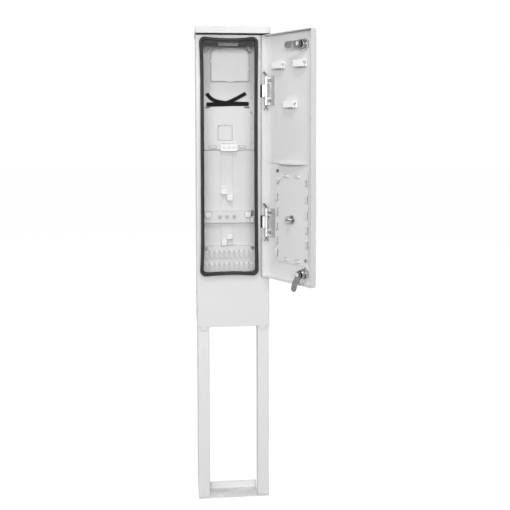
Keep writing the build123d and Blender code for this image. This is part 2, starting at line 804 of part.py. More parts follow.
# Hook-and-loop strap: a band between its slots and two loose arms that cross it
strap_level = upper_rack_bottom + strap_rise
strap_cross_level = upper_rack_bottom + strap_cross_rise
strap_arm_level = upper_rack_bottom + strap_arm_rise
with BuildPart() as hook_loop_strap:
    with BuildSketch(upright(cabinet, rack_front)):
        with Locations(((strap_left + strap_right) / 2, strap_level)):
            Rectangle(strap_right - strap_left, strap_width)
        for tip in (strap_arm_left, strap_arm_right):
            with BuildLine():
                Spline((strap_cross + (strap_cross - tip) / 3, strap_level), (strap_cross, strap_cross_level),
                       (tip, strap_arm_level))
            trace(line_width=strap_width * strap_arm_share)
    extrude(amount=strap_thickness)

# Cable clips on the lower plate: blocks with a cable channel that opens downwards, in two stepped pairs
clip_face = rack_front - rib_rise
with BuildPart() as cable_clips:
    clip_column = rib_left + rib_width / 2
    clip_offset = clip_side / 2 + fit
    clip_order = [clip_column + side * clip_offset for side in (-1, 1, 1, -1)]
    for place, rise in zip(clip_order, clip_rises):
        height = lower_rack_bottom + rise
        with BuildSketch(across(cabinet, place - clip_side / 2)):
            with Locations((clip_face - clip_reach / 2, height)):
                RectangleRounded(clip_reach, clip_height, clip_corner)
                Circle(clip_bore, mode=Mode.SUBTRACT)
            with Locations((clip_face - clip_reach / 2, height - clip_height / 2)):
                Rectangle(clip_slit, clip_height, mode=Mode.SUBTRACT)
        extrude(amount=clip_side)

# Clamp bar: folded channel across the plate, with its screws and two clamp blocks
bar_back = rack_front - rib_rise
bar_face = bar_back - bar_reach
bar_screw_places = [(bar_screw_middle + step * bar_screw_pitch, bar_bottom + bar_height / 2)
                    for step in (-1, 0, 1)]
with BuildPart() as clamp_bar:
    with BuildSketch(across(cabinet, bar_middle - bar_width / 2)):
        with Locations((bar_back - bar_reach / 2, bar_bottom + bar_height / 2)):
            Rectangle(bar_reach, bar_height)
        with Locations((bar_back - bar_reach / 2 + bracket_sheet, bar_bottom + bar_height / 2)):
            Rectangle(bar_reach, bar_height - 2 * bracket_sheet, mode=Mode.SUBTRACT)
    extrude(amount=bar_width)
    with BuildSketch(upright(cabinet, bar_back)):
        with Locations((bar_end, bar_bottom + bar_height)):
            Rectangle(2 * bar_notch, bar_height)
    extrude(amount=bar_reach, mode=Mode.SUBTRACT)
    with BuildSketch(upright(cabinet, bar_face + bracket_sheet)):
        with Locations(*bar_screw_places):
            Circle(bar_screw_radius + fit)
    extrude(amount=bracket_sheet, mode=Mode.SUBTRACT)

clamp_bar_screws = screws(cabinet, bar_face, 1, bar_screw_places, bar_screw_head_radius, bar_screw_head,
                          bar_screw_radius, bar_reach / 2)

with BuildPart() as clamp_blocks:
    with BuildSketch(upright(cabinet, bar_face)):
        with Locations((block_left, bar_bottom + bar_height - block_height / 2 - bracket_sheet),
                       (block_right, bar_bottom + bar_height - block_height / 2 - bracket_sheet)):
            RectangleRounded(block_width, block_height, block_corner)
        with Locations((end_block_middle, bar_bottom + end_block_height / 2)):
            RectangleRounded(end_block_width, end_block_height, block_corner)
    extrude(amount=block_reach)
    chamfer(clamp_blocks.faces().group_by(Axis.Y)[0].edges(), block_corner / 2)

# Duct comb: angle with two rows of lanced tongues for tying ducts
comb_face = rack_front - comb_reach
comb_bottom = lower_rack_bottom + comb_rise
comb_top = comb_bottom + comb_height
comb_screw_places = [(comb_middle + side * (comb_width / 2 - comb_screw_inset), comb_top - comb_screw_edge)
                     for side in (-1, 1)]
with BuildPart() as duct_comb:
    with BuildSketch(across(cabinet, comb_middle - comb_width / 2)):
        with Locations((comb_face + bracket_sheet / 2, (comb_bottom + comb_top) / 2)):
            Rectangle(bracket_sheet, comb_top - comb_bottom)
        with Locations((rack_front - comb_reach / 2, comb_top - bracket_sheet / 2)):
            Rectangle(comb_reach, bracket_sheet)
    extrude(amount=comb_width)
    for drop in tongue_drops:
        upper_end = comb_top - drop
        low_end = upper_end - tongue_length
        with BuildSketch(upright(cabinet, comb_face + bracket_sheet)):
            with Locations((tongue_middle, (upper_end + low_end) / 2 - tongue_bend / 2)):
                with GridLocations(tongue_pitch, 0, tongue_count, 1):
                    SlotOverall(tongue_length - tongue_bend, tongue_width, rotation=90)
        extrude(amount=bracket_sheet, mode=Mode.SUBTRACT)
        for column in range(tongue_count):
            place = tongue_middle + (column - (tongue_count - 1) / 2) * tongue_pitch
            with BuildSketch(across(cabinet, place)):
                with BuildLine():
                    Polyline(
                        (comb_face, upper_end),
                        (comb_face - tongue_rise, upper_end - tongue_bend),
                        (comb_face - tongue_rise, low_end),
                        (comb_face - tongue_rise + tongue_sheet, low_end),
                        (comb_face - tongue_rise + tongue_sheet, upper_end - tongue_bend - tongue_sheet),
                        (comb_face, upper_end - tongue_sheet - tongue_bend / 2),
                        close=True,
                    )
                make_face()
            extrude(amount=(tongue_width - 2 * fit) / 2, both=True)
    tongue_ends = duct_comb.edges().filter_by(Axis.Y).filter_by(
        lambda edge: edge.center().Y < comb_face - foot_middle and edge.length < 2 * tongue_sheet)
    fillet(tongue_ends, tongue_width / 3)
    with BuildSketch(upright(cabinet, comb_face + bracket_sheet)):
        with Locations(*comb_screw_places):
            Circle(comb_screw_radius + fit)
    extrude(amount=bracket_sheet, mode=Mode.SUBTRACT)

comb_screws = screws(cabinet, comb_face, 1, comb_screw_places, comb_screw_head_radius, comb_screw_head,
                     comb_screw_radius, comb_reach - fit)


# Hinge: arm from the housing through the slot to the middle knuckle, leaf on the door with two end knuckles
def hinge_arm(height):
    outer = hinge_x - arm_offset
    foot_face = rebate_depth + sheet
    elbow = hinge_y - arm_drop
    with BuildPart() as arm:
        with BuildSketch(level(cabinet, height - arm_knuckle_length / 2)):
            with Locations((hinge_x, hinge_y)):
                Circle(knuckle_radius)
            with Locations((outer + arm_thickness / 2, (foot_face + elbow) / 2)):
                Rectangle(arm_thickness, foot_face - elbow)
            with Locations(((outer + hinge_x) / 2, elbow + arm_thickness / 2)):
                Rectangle(hinge_x - outer, arm_thickness)
            with Locations((outer + arm_foot_width / 2, foot_face + arm_thickness / 2)):
                Rectangle(arm_foot_width, arm_thickness)
            with Locations((hinge_x, hinge_y)):
                Circle(pin_radius + running, mode=Mode.SUBTRACT)
        extrude(amount=arm_knuckle_length)
    return arm


def hinge_leaf(height):
    half_length = arm_knuckle_length / 2 + knuckle_gap + end_knuckle_length
    with BuildPart() as leaf:
        with BuildSketch(level(door, height - half_length)):
            with Locations((hinge_x, hinge_y)):
                Circle(knuckle_radius)
            with Locations((hinge_x - knuckle_radius / 2, (skin_in + hinge_y) / 2)):
                Rectangle(knuckle_radius, hinge_y - skin_in)
            with Locations((hinge_x - leaf_width / 2, skin_in + leaf_thickness / 2)):
                Rectangle(leaf_width, leaf_thickness)
            with Locations((hinge_x, hinge_y)):
                Circle(pin_radius + running, mode=Mode.SUBTRACT)
        extrude(amount=2 * half_length)
        with BuildSketch(upright(door, 0)):
            with Locations((hinge_x, height)):
                Rectangle(2 * knuckle_radius + leaf_window_edge, arm_knuckle_length + 2 * knuckle_gap)
        extrude(amount=-2 * skin_out, both=True, mode=Mode.SUBTRACT)
        with BuildSketch(upright(door, skin_in)):
            with Locations((hinge_x - leaf_screw_edge, height)):
                with GridLocations(0, leaf_screw_spacing, 1, 2):
                    Circle(leaf_screw_radius + fit)
        extrude(amount=-leaf_thickness, mode=Mode.SUBTRACT)
    return leaf


def hinge_pin(height):
    half_length = arm_knuckle_length / 2 + knuckle_gap + end_knuckle_length
    top = height + half_length + pin_neck
    with BuildPart() as pin:
        with BuildLine():
            FilletPolyline(
                cabinet.from_local_coords((hinge_x, hinge_y, height - half_length - pin_tail)),
                cabinet.from_local_coords((hinge_x, hinge_y, top)),
                cabinet.from_local_coords((hinge_x - pin_bend_reach, hinge_y, top + pin_bend_rise)),
                radius=pin_neck,
            )
        with BuildSketch(level(cabinet, height - half_length - pin_tail)):
            with Locations((hinge_x, hinge_y)):
                Circle(pin_radius)
        sweep()
    return pin


hinge_arms = {side: hinge_arm(height) for side, height in hinge_heights.items()}
hinge_leaves = {side: hinge_leaf(height) for side, height in hinge_heights.items()}
hinge_pins = {side: hinge_pin(height) for side, height in hinge_heights.items()}

hinge_screw_places = [(hinge_x - leaf_screw_edge, height + side * leaf_screw_spacing / 2)
                      for height in hinge_heights.values() for side in (-1, 1)]
hinge_screws = screws(door, skin_in + leaf_thickness, -1, hinge_screw_places, leaf_screw_head_radius,
                      leaf_screw_head, leaf_screw_radius, leaf_thickness)

# Door: folded pan with four returns, notched where the hinge arms pass, drilled for the locks
with BuildPart() as door_panel:
    with BuildSketch(upright(door, skin_out)):
        with Locations((0, door_z)):
            RectangleRounded(body_width, door_height, bend)
    extrude(amount=-door_thickness)
    fillet(door_panel.faces().filter_by(inwards).sort_by(inwards)[0].edges(), bend - fit)
    with BuildSketch(upright(door, skin_in)):
        with Locations((0, door_z)):
            RectangleRounded(body_width - 2 * sheet, door_height - 2 * sheet, inner_bend)
    extrude(amount=-door_thickness, mode=Mode.SUBTRACT)
    with BuildSketch(upright(door, hinge_y)):
        for height in hinge_heights.values():
            with Locations((half_width, height)):
                Rectangle(2 * hinge_inset - 2 * knuckle_radius, arm_knuckle_length + 2 * notch_end_slack)
    extrude(amount=-hinge_forward, mode=Mode.SUBTRACT)
    with BuildSketch(upright(door, skin_in)):
        for height in lock_heights.values():
            with Locations((lock_x, height)):
                Circle(lock_barrel_radius + fit)
    extrude(amount=sheet, mode=Mode.SUBTRACT)

# Storage plate: sheet with a ring of lanced bridges to hold spare fibre, screwed to the door
side_rows = [plate_bottom + plate_height * share for share in bridge_side_shares]
plate_screw_places = [(plate_left + plate_width - plate_screw_inset, plate_top - plate_screw_inset),
                      (plate_left + plate_screw_inset, plate_bottom + plate_screw_inset + plate_corner)]
bridge_left = plate_left + bridge_edge
bridge_right = plate_left + plate_width - bridge_edge
with BuildPart() as storage_plate:
    with BuildSketch(upright(door, plate_face)):
        with Locations((plate_x, plate_bottom + plate_height / 2)):
            RectangleRounded(plate_width, plate_height, plate_corner)
        with Locations(*plate_screw_places):
            Circle(plate_screw_radius + fit, mode=Mode.SUBTRACT)
        with Locations((plate_x, plate_bottom + plate_height * knob_height_share)):
            Circle(knob_stud_radius + fit, mode=Mode.SUBTRACT)
    extrude(amount=plate_sheet)
    for share in bridge_column_shares:
        place = plate_left + plate_width * share
        for row_share in (bridge_top_share, bridge_bottom_share):
            bridge(door, plate_face, 1, place, plate_bottom + plate_height * row_share, 0, bridge_length,
                   bridge_width, bridge_rise, bridge_sheet)
    for row in side_rows:
        bridge(door, plate_face, 1, bridge_right, row, 90, bridge_length, bridge_width, bridge_rise,
               bridge_sheet)
    for row in side_rows[1:]:
        bridge(door, plate_face, 1, bridge_left, row, 90, bridge_length, bridge_width, bridge_rise,
               bridge_sheet)
    for place, lean in zip((bridge_right - bridge_edge, bridge_left + bridge_edge / 2), bridge_slants):
        bridge(door, plate_face, 1, place, plate_bottom + plate_height * bridge_slant_share, lean,
               bridge_slant_length, bridge_width, bridge_rise, bridge_sheet)

storage_screws = screws(door, plate_face, -1, plate_screw_places, plate_screw_head_radius, plate_screw_head,
                        plate_screw_radius, plate_sheet)

# Knob on the storage plate: flange, neck and slotted head
knob_z = plate_bottom + plate_height * knob_height_share
knob_head_face = plate_face + knob_flange + knob_neck
with BuildPart() as wing_knob:
    with BuildSketch(upright(door, plate_face)):
        with Locations((plate_x, knob_z)):
            Circle(knob_flange_radius)
    extrude(amount=-knob_flange)
    with BuildSketch(upright(door, plate_face)):
        with Locations((plate_x, knob_z)):
            Circle(knob_neck_radius)
    extrude(amount=-knob_flange - knob_neck)
    with BuildSketch(upright(door, knob_head_face)):
        with Locations((plate_x, knob_z)):
            Circle(knob_head_radius)
    extrude(amount=-knob_head)
    chamfer(wing_knob.faces().filter_by(inwards).sort_by(inwards)[-1].edges(), knob_chamfer)
    with BuildSketch(upright(door, knob_head_face + knob_head)):
        with Locations((plate_x, knob_z)):
            Rectangle(2 * knob_head_radius, knob_slot)
    extrude(amount=knob_slot_depth, mode=Mode.SUBTRACT)
    with BuildSketch(upright(door, plate_face)):
        with Locations((plate_x, knob_z)):
            Circle(knob_stud_radius)
    extrude(amount=plate_sheet)

# Shelf on the door: a strip with a lip whose front edge is an arc
shelf_left = shelf_free_margin - half_width
shelf_right = half_width - shelf_hinge_margin
with BuildPart() as door_shelf:
    with BuildSketch(upright(door, skin_in)):
        with Locations(((shelf_left + shelf_right) / 2, shelf_height + shelf_leg / 2)):
            Rectangle(shelf_right - shelf_left, shelf_leg)
    extrude(amount=-shelf_sheet)
    lip_plane = Plane(door.from_local_coords((plate_x, skin_in, shelf_height)), x_dir=door.x_dir,
                      z_dir=door.z_dir.rotate(Axis((0, 0, 0), door.x_dir), -shelf_tilt))
    with BuildSketch(lip_plane):
        with BuildLine():
            ThreePointArc((-shelf_chord / 2, 0), (0, shelf_reach), (shelf_chord / 2, 0))
            Line((shelf_chord / 2, 0), (-shelf_chord / 2, 0))
        make_face()
    extrude(amount=shelf_sheet)
    split(bisect_by=upright(door, skin_in), keep=Keep.BOTTOM)

# Clips on the door: blocks with a cable channel that opens downwards
with BuildPart() as door_clips:
    for place, rise in door_clip_spots:
        height = door_bottom + rise
        with BuildSketch(across(door, place - door_clip_width / 2)):
            with Locations((skin_in + door_clip_reach / 2, height)):
                RectangleRounded(door_clip_reach, door_clip_height, door_clip_corner)
                Circle(door_clip_bore, mode=Mode.SUBTRACT)
            with Locations((skin_in + door_clip_reach / 2, height - door_clip_height / 2)):
                Rectangle(door_clip_slit, door_clip_height, mode=Mode.SUBTRACT)
        extrude(amount=door_clip_width)


# Quarter-turn locks: housing with its nut in the door, insert and cam that turn in it
def lock_housing(height):
    with BuildPart() as shell:
        with BuildSketch(upright(door, skin_out)):
            with Locations((lock_x, height)):
                Circle(lock_flange_radius)
        extrude(amount=lock_flange)
        fillet(shell.faces().filter_by(inwards).sort_by(inwards)[0].edges(), lock_flange / 2)
        with BuildSketch(upright(door, skin_out)):
            with Locations((lock_x, height)):
                Circle(lock_barrel_radius)
        extrude(amount=-sheet - lock_barrel_length)
        with BuildSketch(upright(door, skin_out - lock_flange)):
            with Locations((lock_x, height)):
                Circle(lock_core_radius + running)
        extrude(amount=-lock_flange - sheet - lock_barrel_length, mode=Mode.SUBTRACT)
    return shell


def lock_nut(height):
    with BuildPart() as nut:
        with BuildSketch(upright(door, skin_in)):
            with Locations((lock_x, height)):
                RegularPolygon(lock_nut_flats / 2, 6, major_radius=False, rotation=30)
                Circle(lock_barrel_radius + fit, mode=Mode.SUBTRACT)
        extrude(amount=-lock_nut_thickness)
    return nut


def lock_insert(height, turn):
    with BuildPart() as insert:
        with BuildSketch(upright(door, skin_out - lock_flange + lock_core_recess)):
            with Locations((lock_x, height)):
                Circle(lock_core_radius)
        extrude(amount=-(cam_seat - skin_out + lock_flange - lock_core_recess))
        with BuildSketch(upright(door, cam_seat)):
            with Locations((lock_x, height)):
                Rectangle(cam_square, cam_square, rotation=turn)
        extrude(amount=-cam_thickness)
        with BuildSketch(upright(door, skin_out - lock_flange + lock_core_recess)):
            with Locations((lock_x, height)):
                Circle(lock_core_radius - lock_core_recess)
                RegularPolygon(key_side / 2, 3, rotation=turn + 90, mode=Mode.SUBTRACT)
        extrude(amount=-key_depth, mode=Mode.SUBTRACT)
        with BuildSketch(upright(door, cam_seat + cam_thickness)):
            with Locations((lock_x, height)):
                Circle(cam_screw_radius + fit)
        extrude(amount=cam_screw_length - cam_screw_head + fit, mode=Mode.SUBTRACT)
    return insert


def lock_cam(height, turn):
    """Flat cam with a stepped arm. turn is the arm's angle from the hinge side, upwards."""
    hub = door.from_local_coords((lock_x, cam_seat, height))
    arm = door.x_dir.rotate(Axis((0, 0, 0), door.y_dir), -turn)
    side = Plane(hub, x_dir=arm, z_dir=arm.cross(door.y_dir))
    half = cam_width / 2
    step_start = cam_hub_length
    step_end = cam_hub_length + cam_ramp
    with BuildPart() as cam:
        with BuildSketch(side):
            with BuildLine():
                Polyline(
                    (-half, 0),
                    (step_start, 0),
                    (step_end, cam_step),
                    (cam_reach, cam_step),
                    (cam_reach, cam_step + cam_thickness),
                    (step_end, cam_step + cam_thickness),
                    (step_start, cam_thickness),
                    (-half, cam_thickness),
                    close=True,
                )
            make_face()
        extrude(amount=half, both=True)
        fillet(cam.edges().filter_by(inwards), half - fit)
        with BuildSketch(upright(door, cam_seat)):
            with Locations((lock_x, height)):
                Rectangle(cam_square + 2 * fit, cam_square + 2 * fit, rotation=turn)
        extrude(amount=-cam_thickness, mode=Mode.SUBTRACT)
    return cam


def cam_screw(height):
    with BuildPart() as screw:
        with BuildSketch(upright(door, cam_seat + cam_thickness)):
            with Locations((lock_x, height)):
                RegularPolygon(cam_screw_flats / 2, 6, major_radius=False)
        extrude(amount=-cam_screw_head)
        with BuildSketch(upright(door, cam_seat + cam_thickness)):
            with Locations((lock_x, height)):
                Circle(cam_screw_radius)
        extrude(amount=cam_screw_length - cam_screw_head)
    return screw


cam_turns = {"upper": 0, "lower": lower_cam_angle - 90}

pieces = {
    "housing": housing,
    "rain_cap": rain_cap,
    "cap_screws": cap_screws,
    "leg_left": leg_left,
    "leg_right": leg_right,
    "ground_crossbar": ground_crossbar,
    "frame_bolts": frame_bolts,
    "frame_nuts": frame_nuts,
    "door_gasket": door_gasket,
    "upper_mounting_plate": upper_mounting_plate,
    "lower_mounting_plate": lower_mounting_plate,
    "splice_tray": splice_tray,
    "splice_holder": splice_holder,
    "tray_lid": tray_lid,
    "fibre_guides": fibre_guides,
    "tray_hanger": tray_hanger,
    "tie_bracket": tie_bracket,
    "hook_loop_strap": hook_loop_strap,
    "cable_clips": cable_clips,
    "clamp_bar": clamp_bar,
    "clamp_bar_screws": clamp_bar_screws,
    "clamp_blocks": clamp_blocks,
    "duct_comb": duct_comb,
    "comb_screws": comb_screws,
    "door_panel": door_panel,
    "hinge_screws": hinge_screws,
    "storage_plate": storage_plate,
    "storage_screws": storage_screws,
    "wing_knob": wing_knob,
    "door_shelf": door_shelf,
    "door_clips": door_clips,
}
for side in hinge_heights:
    pieces[f"{side}_hinge_arm"] = hinge_arms[side]
    pieces[f"{side}_hinge_leaf"] = hinge_leaves[side]
    pieces[f"{side}_hinge_pin"] = hinge_pins[side]
for side, height in lock_heights.items():
    pieces[f"{side}_lock_housing"] = lock_housing(height)
    pieces[f"{side}_lock_nut"] = lock_nut(height)
    pieces[f"{side}_lock_insert"] = lock_insert(height, cam_turns[side])
    pieces[f"{side}_lock_cam"] = lock_cam(height, cam_turns[side])
    pieces[f"{side}_cam_screw"] = cam_screw(height)

os.makedirs("parts", exist_ok=True)
for name, piece in pieces.items():
    piece.part.label = name
    export_step(piece.part, f"parts/{name}.step")
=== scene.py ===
# %% [markdown]
# # Roadside utility cabinet
# A slim pedestal of folded, powder-coated sheet that stands beside a road and keeps fibre splices dry. The
# solids come from CAD as a fixed frame. Blender adds what a solid modeller leaves out: rubber that bows
# between its corners, a limp strap, screw threads, and a finish for each surface.

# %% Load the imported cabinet
import math

import bmesh
import bpy
from mathutils import Matrix, Vector


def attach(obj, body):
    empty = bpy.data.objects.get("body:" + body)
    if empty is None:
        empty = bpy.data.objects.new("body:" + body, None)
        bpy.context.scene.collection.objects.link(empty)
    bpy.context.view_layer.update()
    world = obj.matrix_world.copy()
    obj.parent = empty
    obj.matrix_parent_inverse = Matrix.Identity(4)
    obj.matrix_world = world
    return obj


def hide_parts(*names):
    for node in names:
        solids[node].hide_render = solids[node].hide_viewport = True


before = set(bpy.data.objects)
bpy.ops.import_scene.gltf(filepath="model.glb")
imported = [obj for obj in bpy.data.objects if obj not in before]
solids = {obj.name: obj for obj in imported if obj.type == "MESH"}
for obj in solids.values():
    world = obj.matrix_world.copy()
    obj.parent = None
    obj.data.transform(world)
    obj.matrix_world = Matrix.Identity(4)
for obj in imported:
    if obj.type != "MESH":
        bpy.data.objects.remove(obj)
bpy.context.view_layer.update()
scene = bpy.context.scene

# %% [markdown]
# ## Places that more than one piece needs
# The CAD origin is under the foot, and depths on the real cabinet are counted from its front face. One
# small helper turns millimetres counted that way into metres. What sits on the open door is described as if
# the door were shut, which keeps its sizes square, and one matrix then swings it about the hinge pins.

# %% Cabinet and door places
MM = 0.001
FRONT_FACE = -24.5
OPEN_ANGLE = math.radians(122.7)
HINGE_PIN_X, HINGE_PIN_Y = 78.9, -8.0


def place(x, y, z):
    """Millimetres on the cabinet, depth from its front face, as a point of the scene."""
    return Vector((x * MM, (y + FRONT_FACE) * MM, z * MM))


hinge_pin = place(HINGE_PIN_X, HINGE_PIN_Y, 0)
door_turn = Matrix.Rotation(OPEN_ANGLE, 4, "Z")
door_swing = Matrix.Translation(hinge_pin) @ door_turn @ Matrix.Translation(-hinge_pin)
print("hinge pins stand at", [round(c, 4) for c in hinge_pin.xy])

# %% [markdown]
# ## Camera
# The photograph was taken from above the middle of the cabinet with the lens kept nearly level, and the
# picture was then cropped low. Tilting the camera down would frame the same view with verticals that lean
# together, so this camera stays nearly level too, and a lens shift moves the picture down.

# %% Camera
PHOTO_SIZE = 510
FOCAL_PIXELS = 749.35
PRINCIPAL = (253.41, 165.17)
SENSOR_WIDTH = 36
CLIP_END = 60
CAMERA_AT = (-122.23, -1780.7, 902.39)
CAMERA_YAW, CAMERA_PITCH, CAMERA_ROLL = (math.radians(a) for a in (5.491, 2.924, -0.121))
lens = bpy.data.cameras.new("photo_camera")
lens.sensor_width = SENSOR_WIDTH
lens.lens = FOCAL_PIXELS / PHOTO_SIZE * SENSOR_WIDTH
lens.shift_x = 0.5 - PRINCIPAL[0] / PHOTO_SIZE
lens.shift_y = PRINCIPAL[1] / PHOTO_SIZE - 0.5
lens.clip_end = CLIP_END
camera = bpy.data.objects.new("photo_camera", lens)
scene.collection.objects.link(camera)
aim = Matrix.Rotation(-CAMERA_YAW, 4, "Z") @ Matrix.Rotation(math.pi / 2 - CAMERA_PITCH, 4, "X")
aim = aim @ Matrix.Rotation(CAMERA_ROLL, 4, "Z")
camera.matrix_world = Matrix.Translation(place(*CAMERA_AT)) @ aim
scene.camera = camera
print("lens", round(lens.lens, 2), "mm, shift", round(lens.shift_x, 4), round(lens.shift_y, 4))

# %% [markdown]
# ## Small helpers for shader nodes
# Every finish below is a tree of nodes. It could be wired by hand in the shader editor. In code, a few
# helpers keep each finish short enough to read: they add a node with its settings, start or place a node
# group, start a material, and do the sums and mixes that come up again and again.

# %% Node helpers
def find_socket(made, key):
    """An input by its number, as in i6, or by its name with underscores for spaces."""
    if key[0] == "i" and key[1:].isdigit():
        return made.inputs[int(key[1:])]
    return made.inputs[key.replace("_", " ")]


def add_node(tree, kind, settings=None, **inputs):
    """Add a shader node. Each input is given a value, or is linked to a socket."""
    made = tree.nodes.new("ShaderNode" + kind)
    for key, value in (settings or {}).items():
        setattr(made, key, value)
    for key, value in inputs.items():
        socket = find_socket(made, key)
        if isinstance(value, bpy.types.NodeSocket):
            tree.links.new(value, socket)
        else:
            socket.default_value = value
    return made


def start_group(name, inputs, outputs):
    """Start a shader node group. Inputs are (name, type, default), outputs are (name, type)."""
    tree = bpy.data.node_groups.new(name, "ShaderNodeTree")
    for label, kind, value in inputs:
        socket = tree.interface.new_socket(label, in_out="INPUT", socket_type="NodeSocket" + kind)
        if value is not None:
            socket.default_value = value
    for label, kind in outputs:
        tree.interface.new_socket(label, in_out="OUTPUT", socket_type="NodeSocket" + kind)
    return tree, tree.nodes.new("NodeGroupInput").outputs, tree.nodes.new("NodeGroupOutput").inputs


def use_group(tree, group, **inputs):
    """Place a node group in a material and give its outputs."""
    return add_node(tree, "Group", {"node_tree": group}, **inputs).outputs


def start_material(name):
    """A material with only its output and a texture coordinate."""
    made = bpy.data.materials.new(name)
    made.use_nodes = True
    tree = made.node_tree
    tree.nodes.clear()
    out = tree.nodes.new("ShaderNodeOutputMaterial")
    where = tree.nodes.new("ShaderNodeTexCoord").outputs["Object"]
    return made, tree, out, where


# %% Sums, mixes and noise
def math_node(tree, operation, a, b=0.0, clamp=False):
    """The result of one sum."""
    return add_node(tree, "Math", {"operation": operation, "use_clamp": clamp}, i0=a, i1=b).outputs[0]


def grey(level):
    """A neutral colour."""
    return (level, level, level, 1)


def blend_colour(tree, amount, low, high):
    """Mix two colours by a mask."""
    return add_node(tree, "Mix", {"data_type": "RGBA"}, Factor=amount, i6=low, i7=high).outputs[2]


def spread(tree, value, low, high):
    """Map a 0 to 1 value on to a range."""
    return add_node(tree, "MapRange", Value=value, To_Min=low, To_Max=high).outputs[0]


def noise(tree, where, scale, detail, roughness=0.5):
    """A cloudy value that varies about a half."""
    made = add_node(tree, "TexNoise", Vector=where, Scale=scale, Detail=detail, Roughness=roughness)
    return made.outputs["Fac"]


# %% [markdown]
# ## Floor
# The cabinet was photographed on white. A plain white floor would throw too much light upwards: the
# underside of the rain cap is dark in the photograph. So this floor bounces little light, and a Light Path
# switch adds a glow that only the camera and reflections see.

# %% Floor
FLOOR_REACH = 14.0
FLOOR_BOUNCE, FLOOR_MOTTLE = 0.16, 0.14
FLOOR_GLOW = 0.92


def seen_rays(tree):
    """1 for rays of the camera, and of reflections and glass."""
    path = add_node(tree, "LightPath").outputs
    either = math_node(tree, "MAXIMUM", path["Is Camera Ray"], path["Is Glossy Ray"])
    return math_node(tree, "MAXIMUM", either, path["Is Transmission Ray"])


floor_mesh = bpy.data.meshes.new("floor")
shape = bmesh.new()
bmesh.ops.create_grid(shape, x_segments=1, y_segments=1, size=FLOOR_REACH)
shape.to_mesh(floor_mesh)
shape.free()
floor = bpy.data.objects.new("floor", floor_mesh)
scene.collection.objects.link(floor)
pale, tree, out, where = start_material("pale_floor")
mottle = noise(tree, where, 3.0, 3.0)
bounce_tone = blend_colour(tree, mottle, grey(FLOOR_BOUNCE), grey(FLOOR_MOTTLE))
bounce = add_node(tree, "BsdfDiffuse", Color=bounce_tone)
glow = add_node(tree, "Emission", Strength=math_node(tree, "MULTIPLY", seen_rays(tree), FLOOR_GLOW))
both = add_node(tree, "AddShader", i0=bounce.outputs[0], i1=glow.outputs[0])
tree.links.new(both.outputs[0], out.inputs["Surface"])
floor_mesh.materials.append(pale)
print("floor", len(floor_mesh.polygons), "face")

# %% [markdown]
# ## Backdrop and lamps
# A broad lamp in front gives the even light of a product picture. A small one above makes the rain cap and
# the clips throw shadows, and weaker ones at the sides and behind round off the folds. The world fills the
# shadows at less than half of white, while the camera and reflections see it as white. A picture of a
# studio could light the scene too, but each lamp here can be moved and weighed by itself.

# %% World
SKY_FILL = 0.44
scene.view_settings.view_transform = "Standard"
world = bpy.data.worlds.new("studio")
scene.world = world
world.use_nodes = True
sky = world.node_tree
sky.nodes.clear()
sky_level = spread(sky, seen_rays(sky), SKY_FILL, 1.0)
backdrop = add_node(sky, "Background", Color=grey(1), Strength=sky_level)
sky.links.new(backdrop.outputs[0], sky.nodes.new("ShaderNodeOutputWorld").inputs["Surface"])
print("world fill", SKY_FILL)

# %% Lamps
# Each lamp: where it stands, the point it faces and its size, all in metres, and its power in watts.
LAMPS = {
    "key_softbox": ((-0.24, -3.45, 1.45), (0.0, 0.0, 0.95), (1.6, 0.66), 66.0),
    "top_softbox": ((-0.1, -1.9, 3.0), (0.0, 0.0, 0.8), (0.4, 0.4), 20.0),
    "side_softbox": ((-2.9, -1.45, 1.5), (0.1, 0.0, 0.85), (1.2, 1.2), 19.0),
    "glint_softbox": ((2.8, -0.9, 1.0), (0.15, -0.1, 0.85), (0.4, 1.0), 5.0),
    "back_softbox": ((1.2, 3.2, 2.2), (0.0, 0.0, 0.7), (2.0, 1.6), 30.0),
}
for name, (at, target, size, power) in LAMPS.items():
    light = bpy.data.lights.new(name, "AREA")
    light.shape = "RECTANGLE"
    light.size, light.size_y = size
    light.energy = power
    lamp = bpy.data.objects.new(name, light)
    lamp.location = at
    lamp.rotation_euler = (Vector(target) - Vector(at)).to_track_quat("-Z", "Y").to_euler()
    scene.collection.objects.link(lamp)
print("lamps", list(LAMPS))

# %% [markdown]
# ## Effects that several finishes share
# Each effect below is one node group, placed with its own values in the paints, metals, plastics and
# rubber, so that all surfaces age alike and the paints, metals and plastics take painted shade in their
# corners alike. Copied nodes would do the same, and would soon drift apart.
#
# The first is the ripple that paint sets with, which painters call orange peel, and a slow drift that tones
# and gloss follow. Both are noise. A scanned texture would show its repeats on sheets as long as these.

# %% Surface ripple
FINE_RATIO, FINE_SHARE = 2.7, 0.3


def stretch(tree, value, low, high, least=0.0):
    """Stretch what lies between low and high over the range from least to 1."""
    return add_node(tree, "MapRange", Value=value, From_Min=low, From_Max=high, To_Min=least).outputs[0]


surface_ripple, given, result = start_group(
    "Surface ripple",
    [("Vector", "Vector", None), ("Scale", "Float", 900.0), ("Drift Scale", "Float", 9.0)],
    [("Height", "Float"), ("Drift", "Float")],
)
coarse = noise(surface_ripple, given["Vector"], given["Scale"], 2.0, roughness=0.45)
fine_scale = math_node(surface_ripple, "MULTIPLY", given["Scale"], FINE_RATIO)
fine = noise(surface_ripple, given["Vector"], fine_scale, 1.0)
summed = add_node(surface_ripple, "Mix", Factor=FINE_SHARE, i2=coarse, i3=fine).outputs[0]
slow = noise(surface_ripple, given["Vector"], given["Drift Scale"], 4.0)
surface_ripple.links.new(summed, result["Height"])
surface_ripple.links.new(stretch(surface_ripple, slow, 0.3, 0.7), result["Drift"])
print("made", surface_ripple.name)

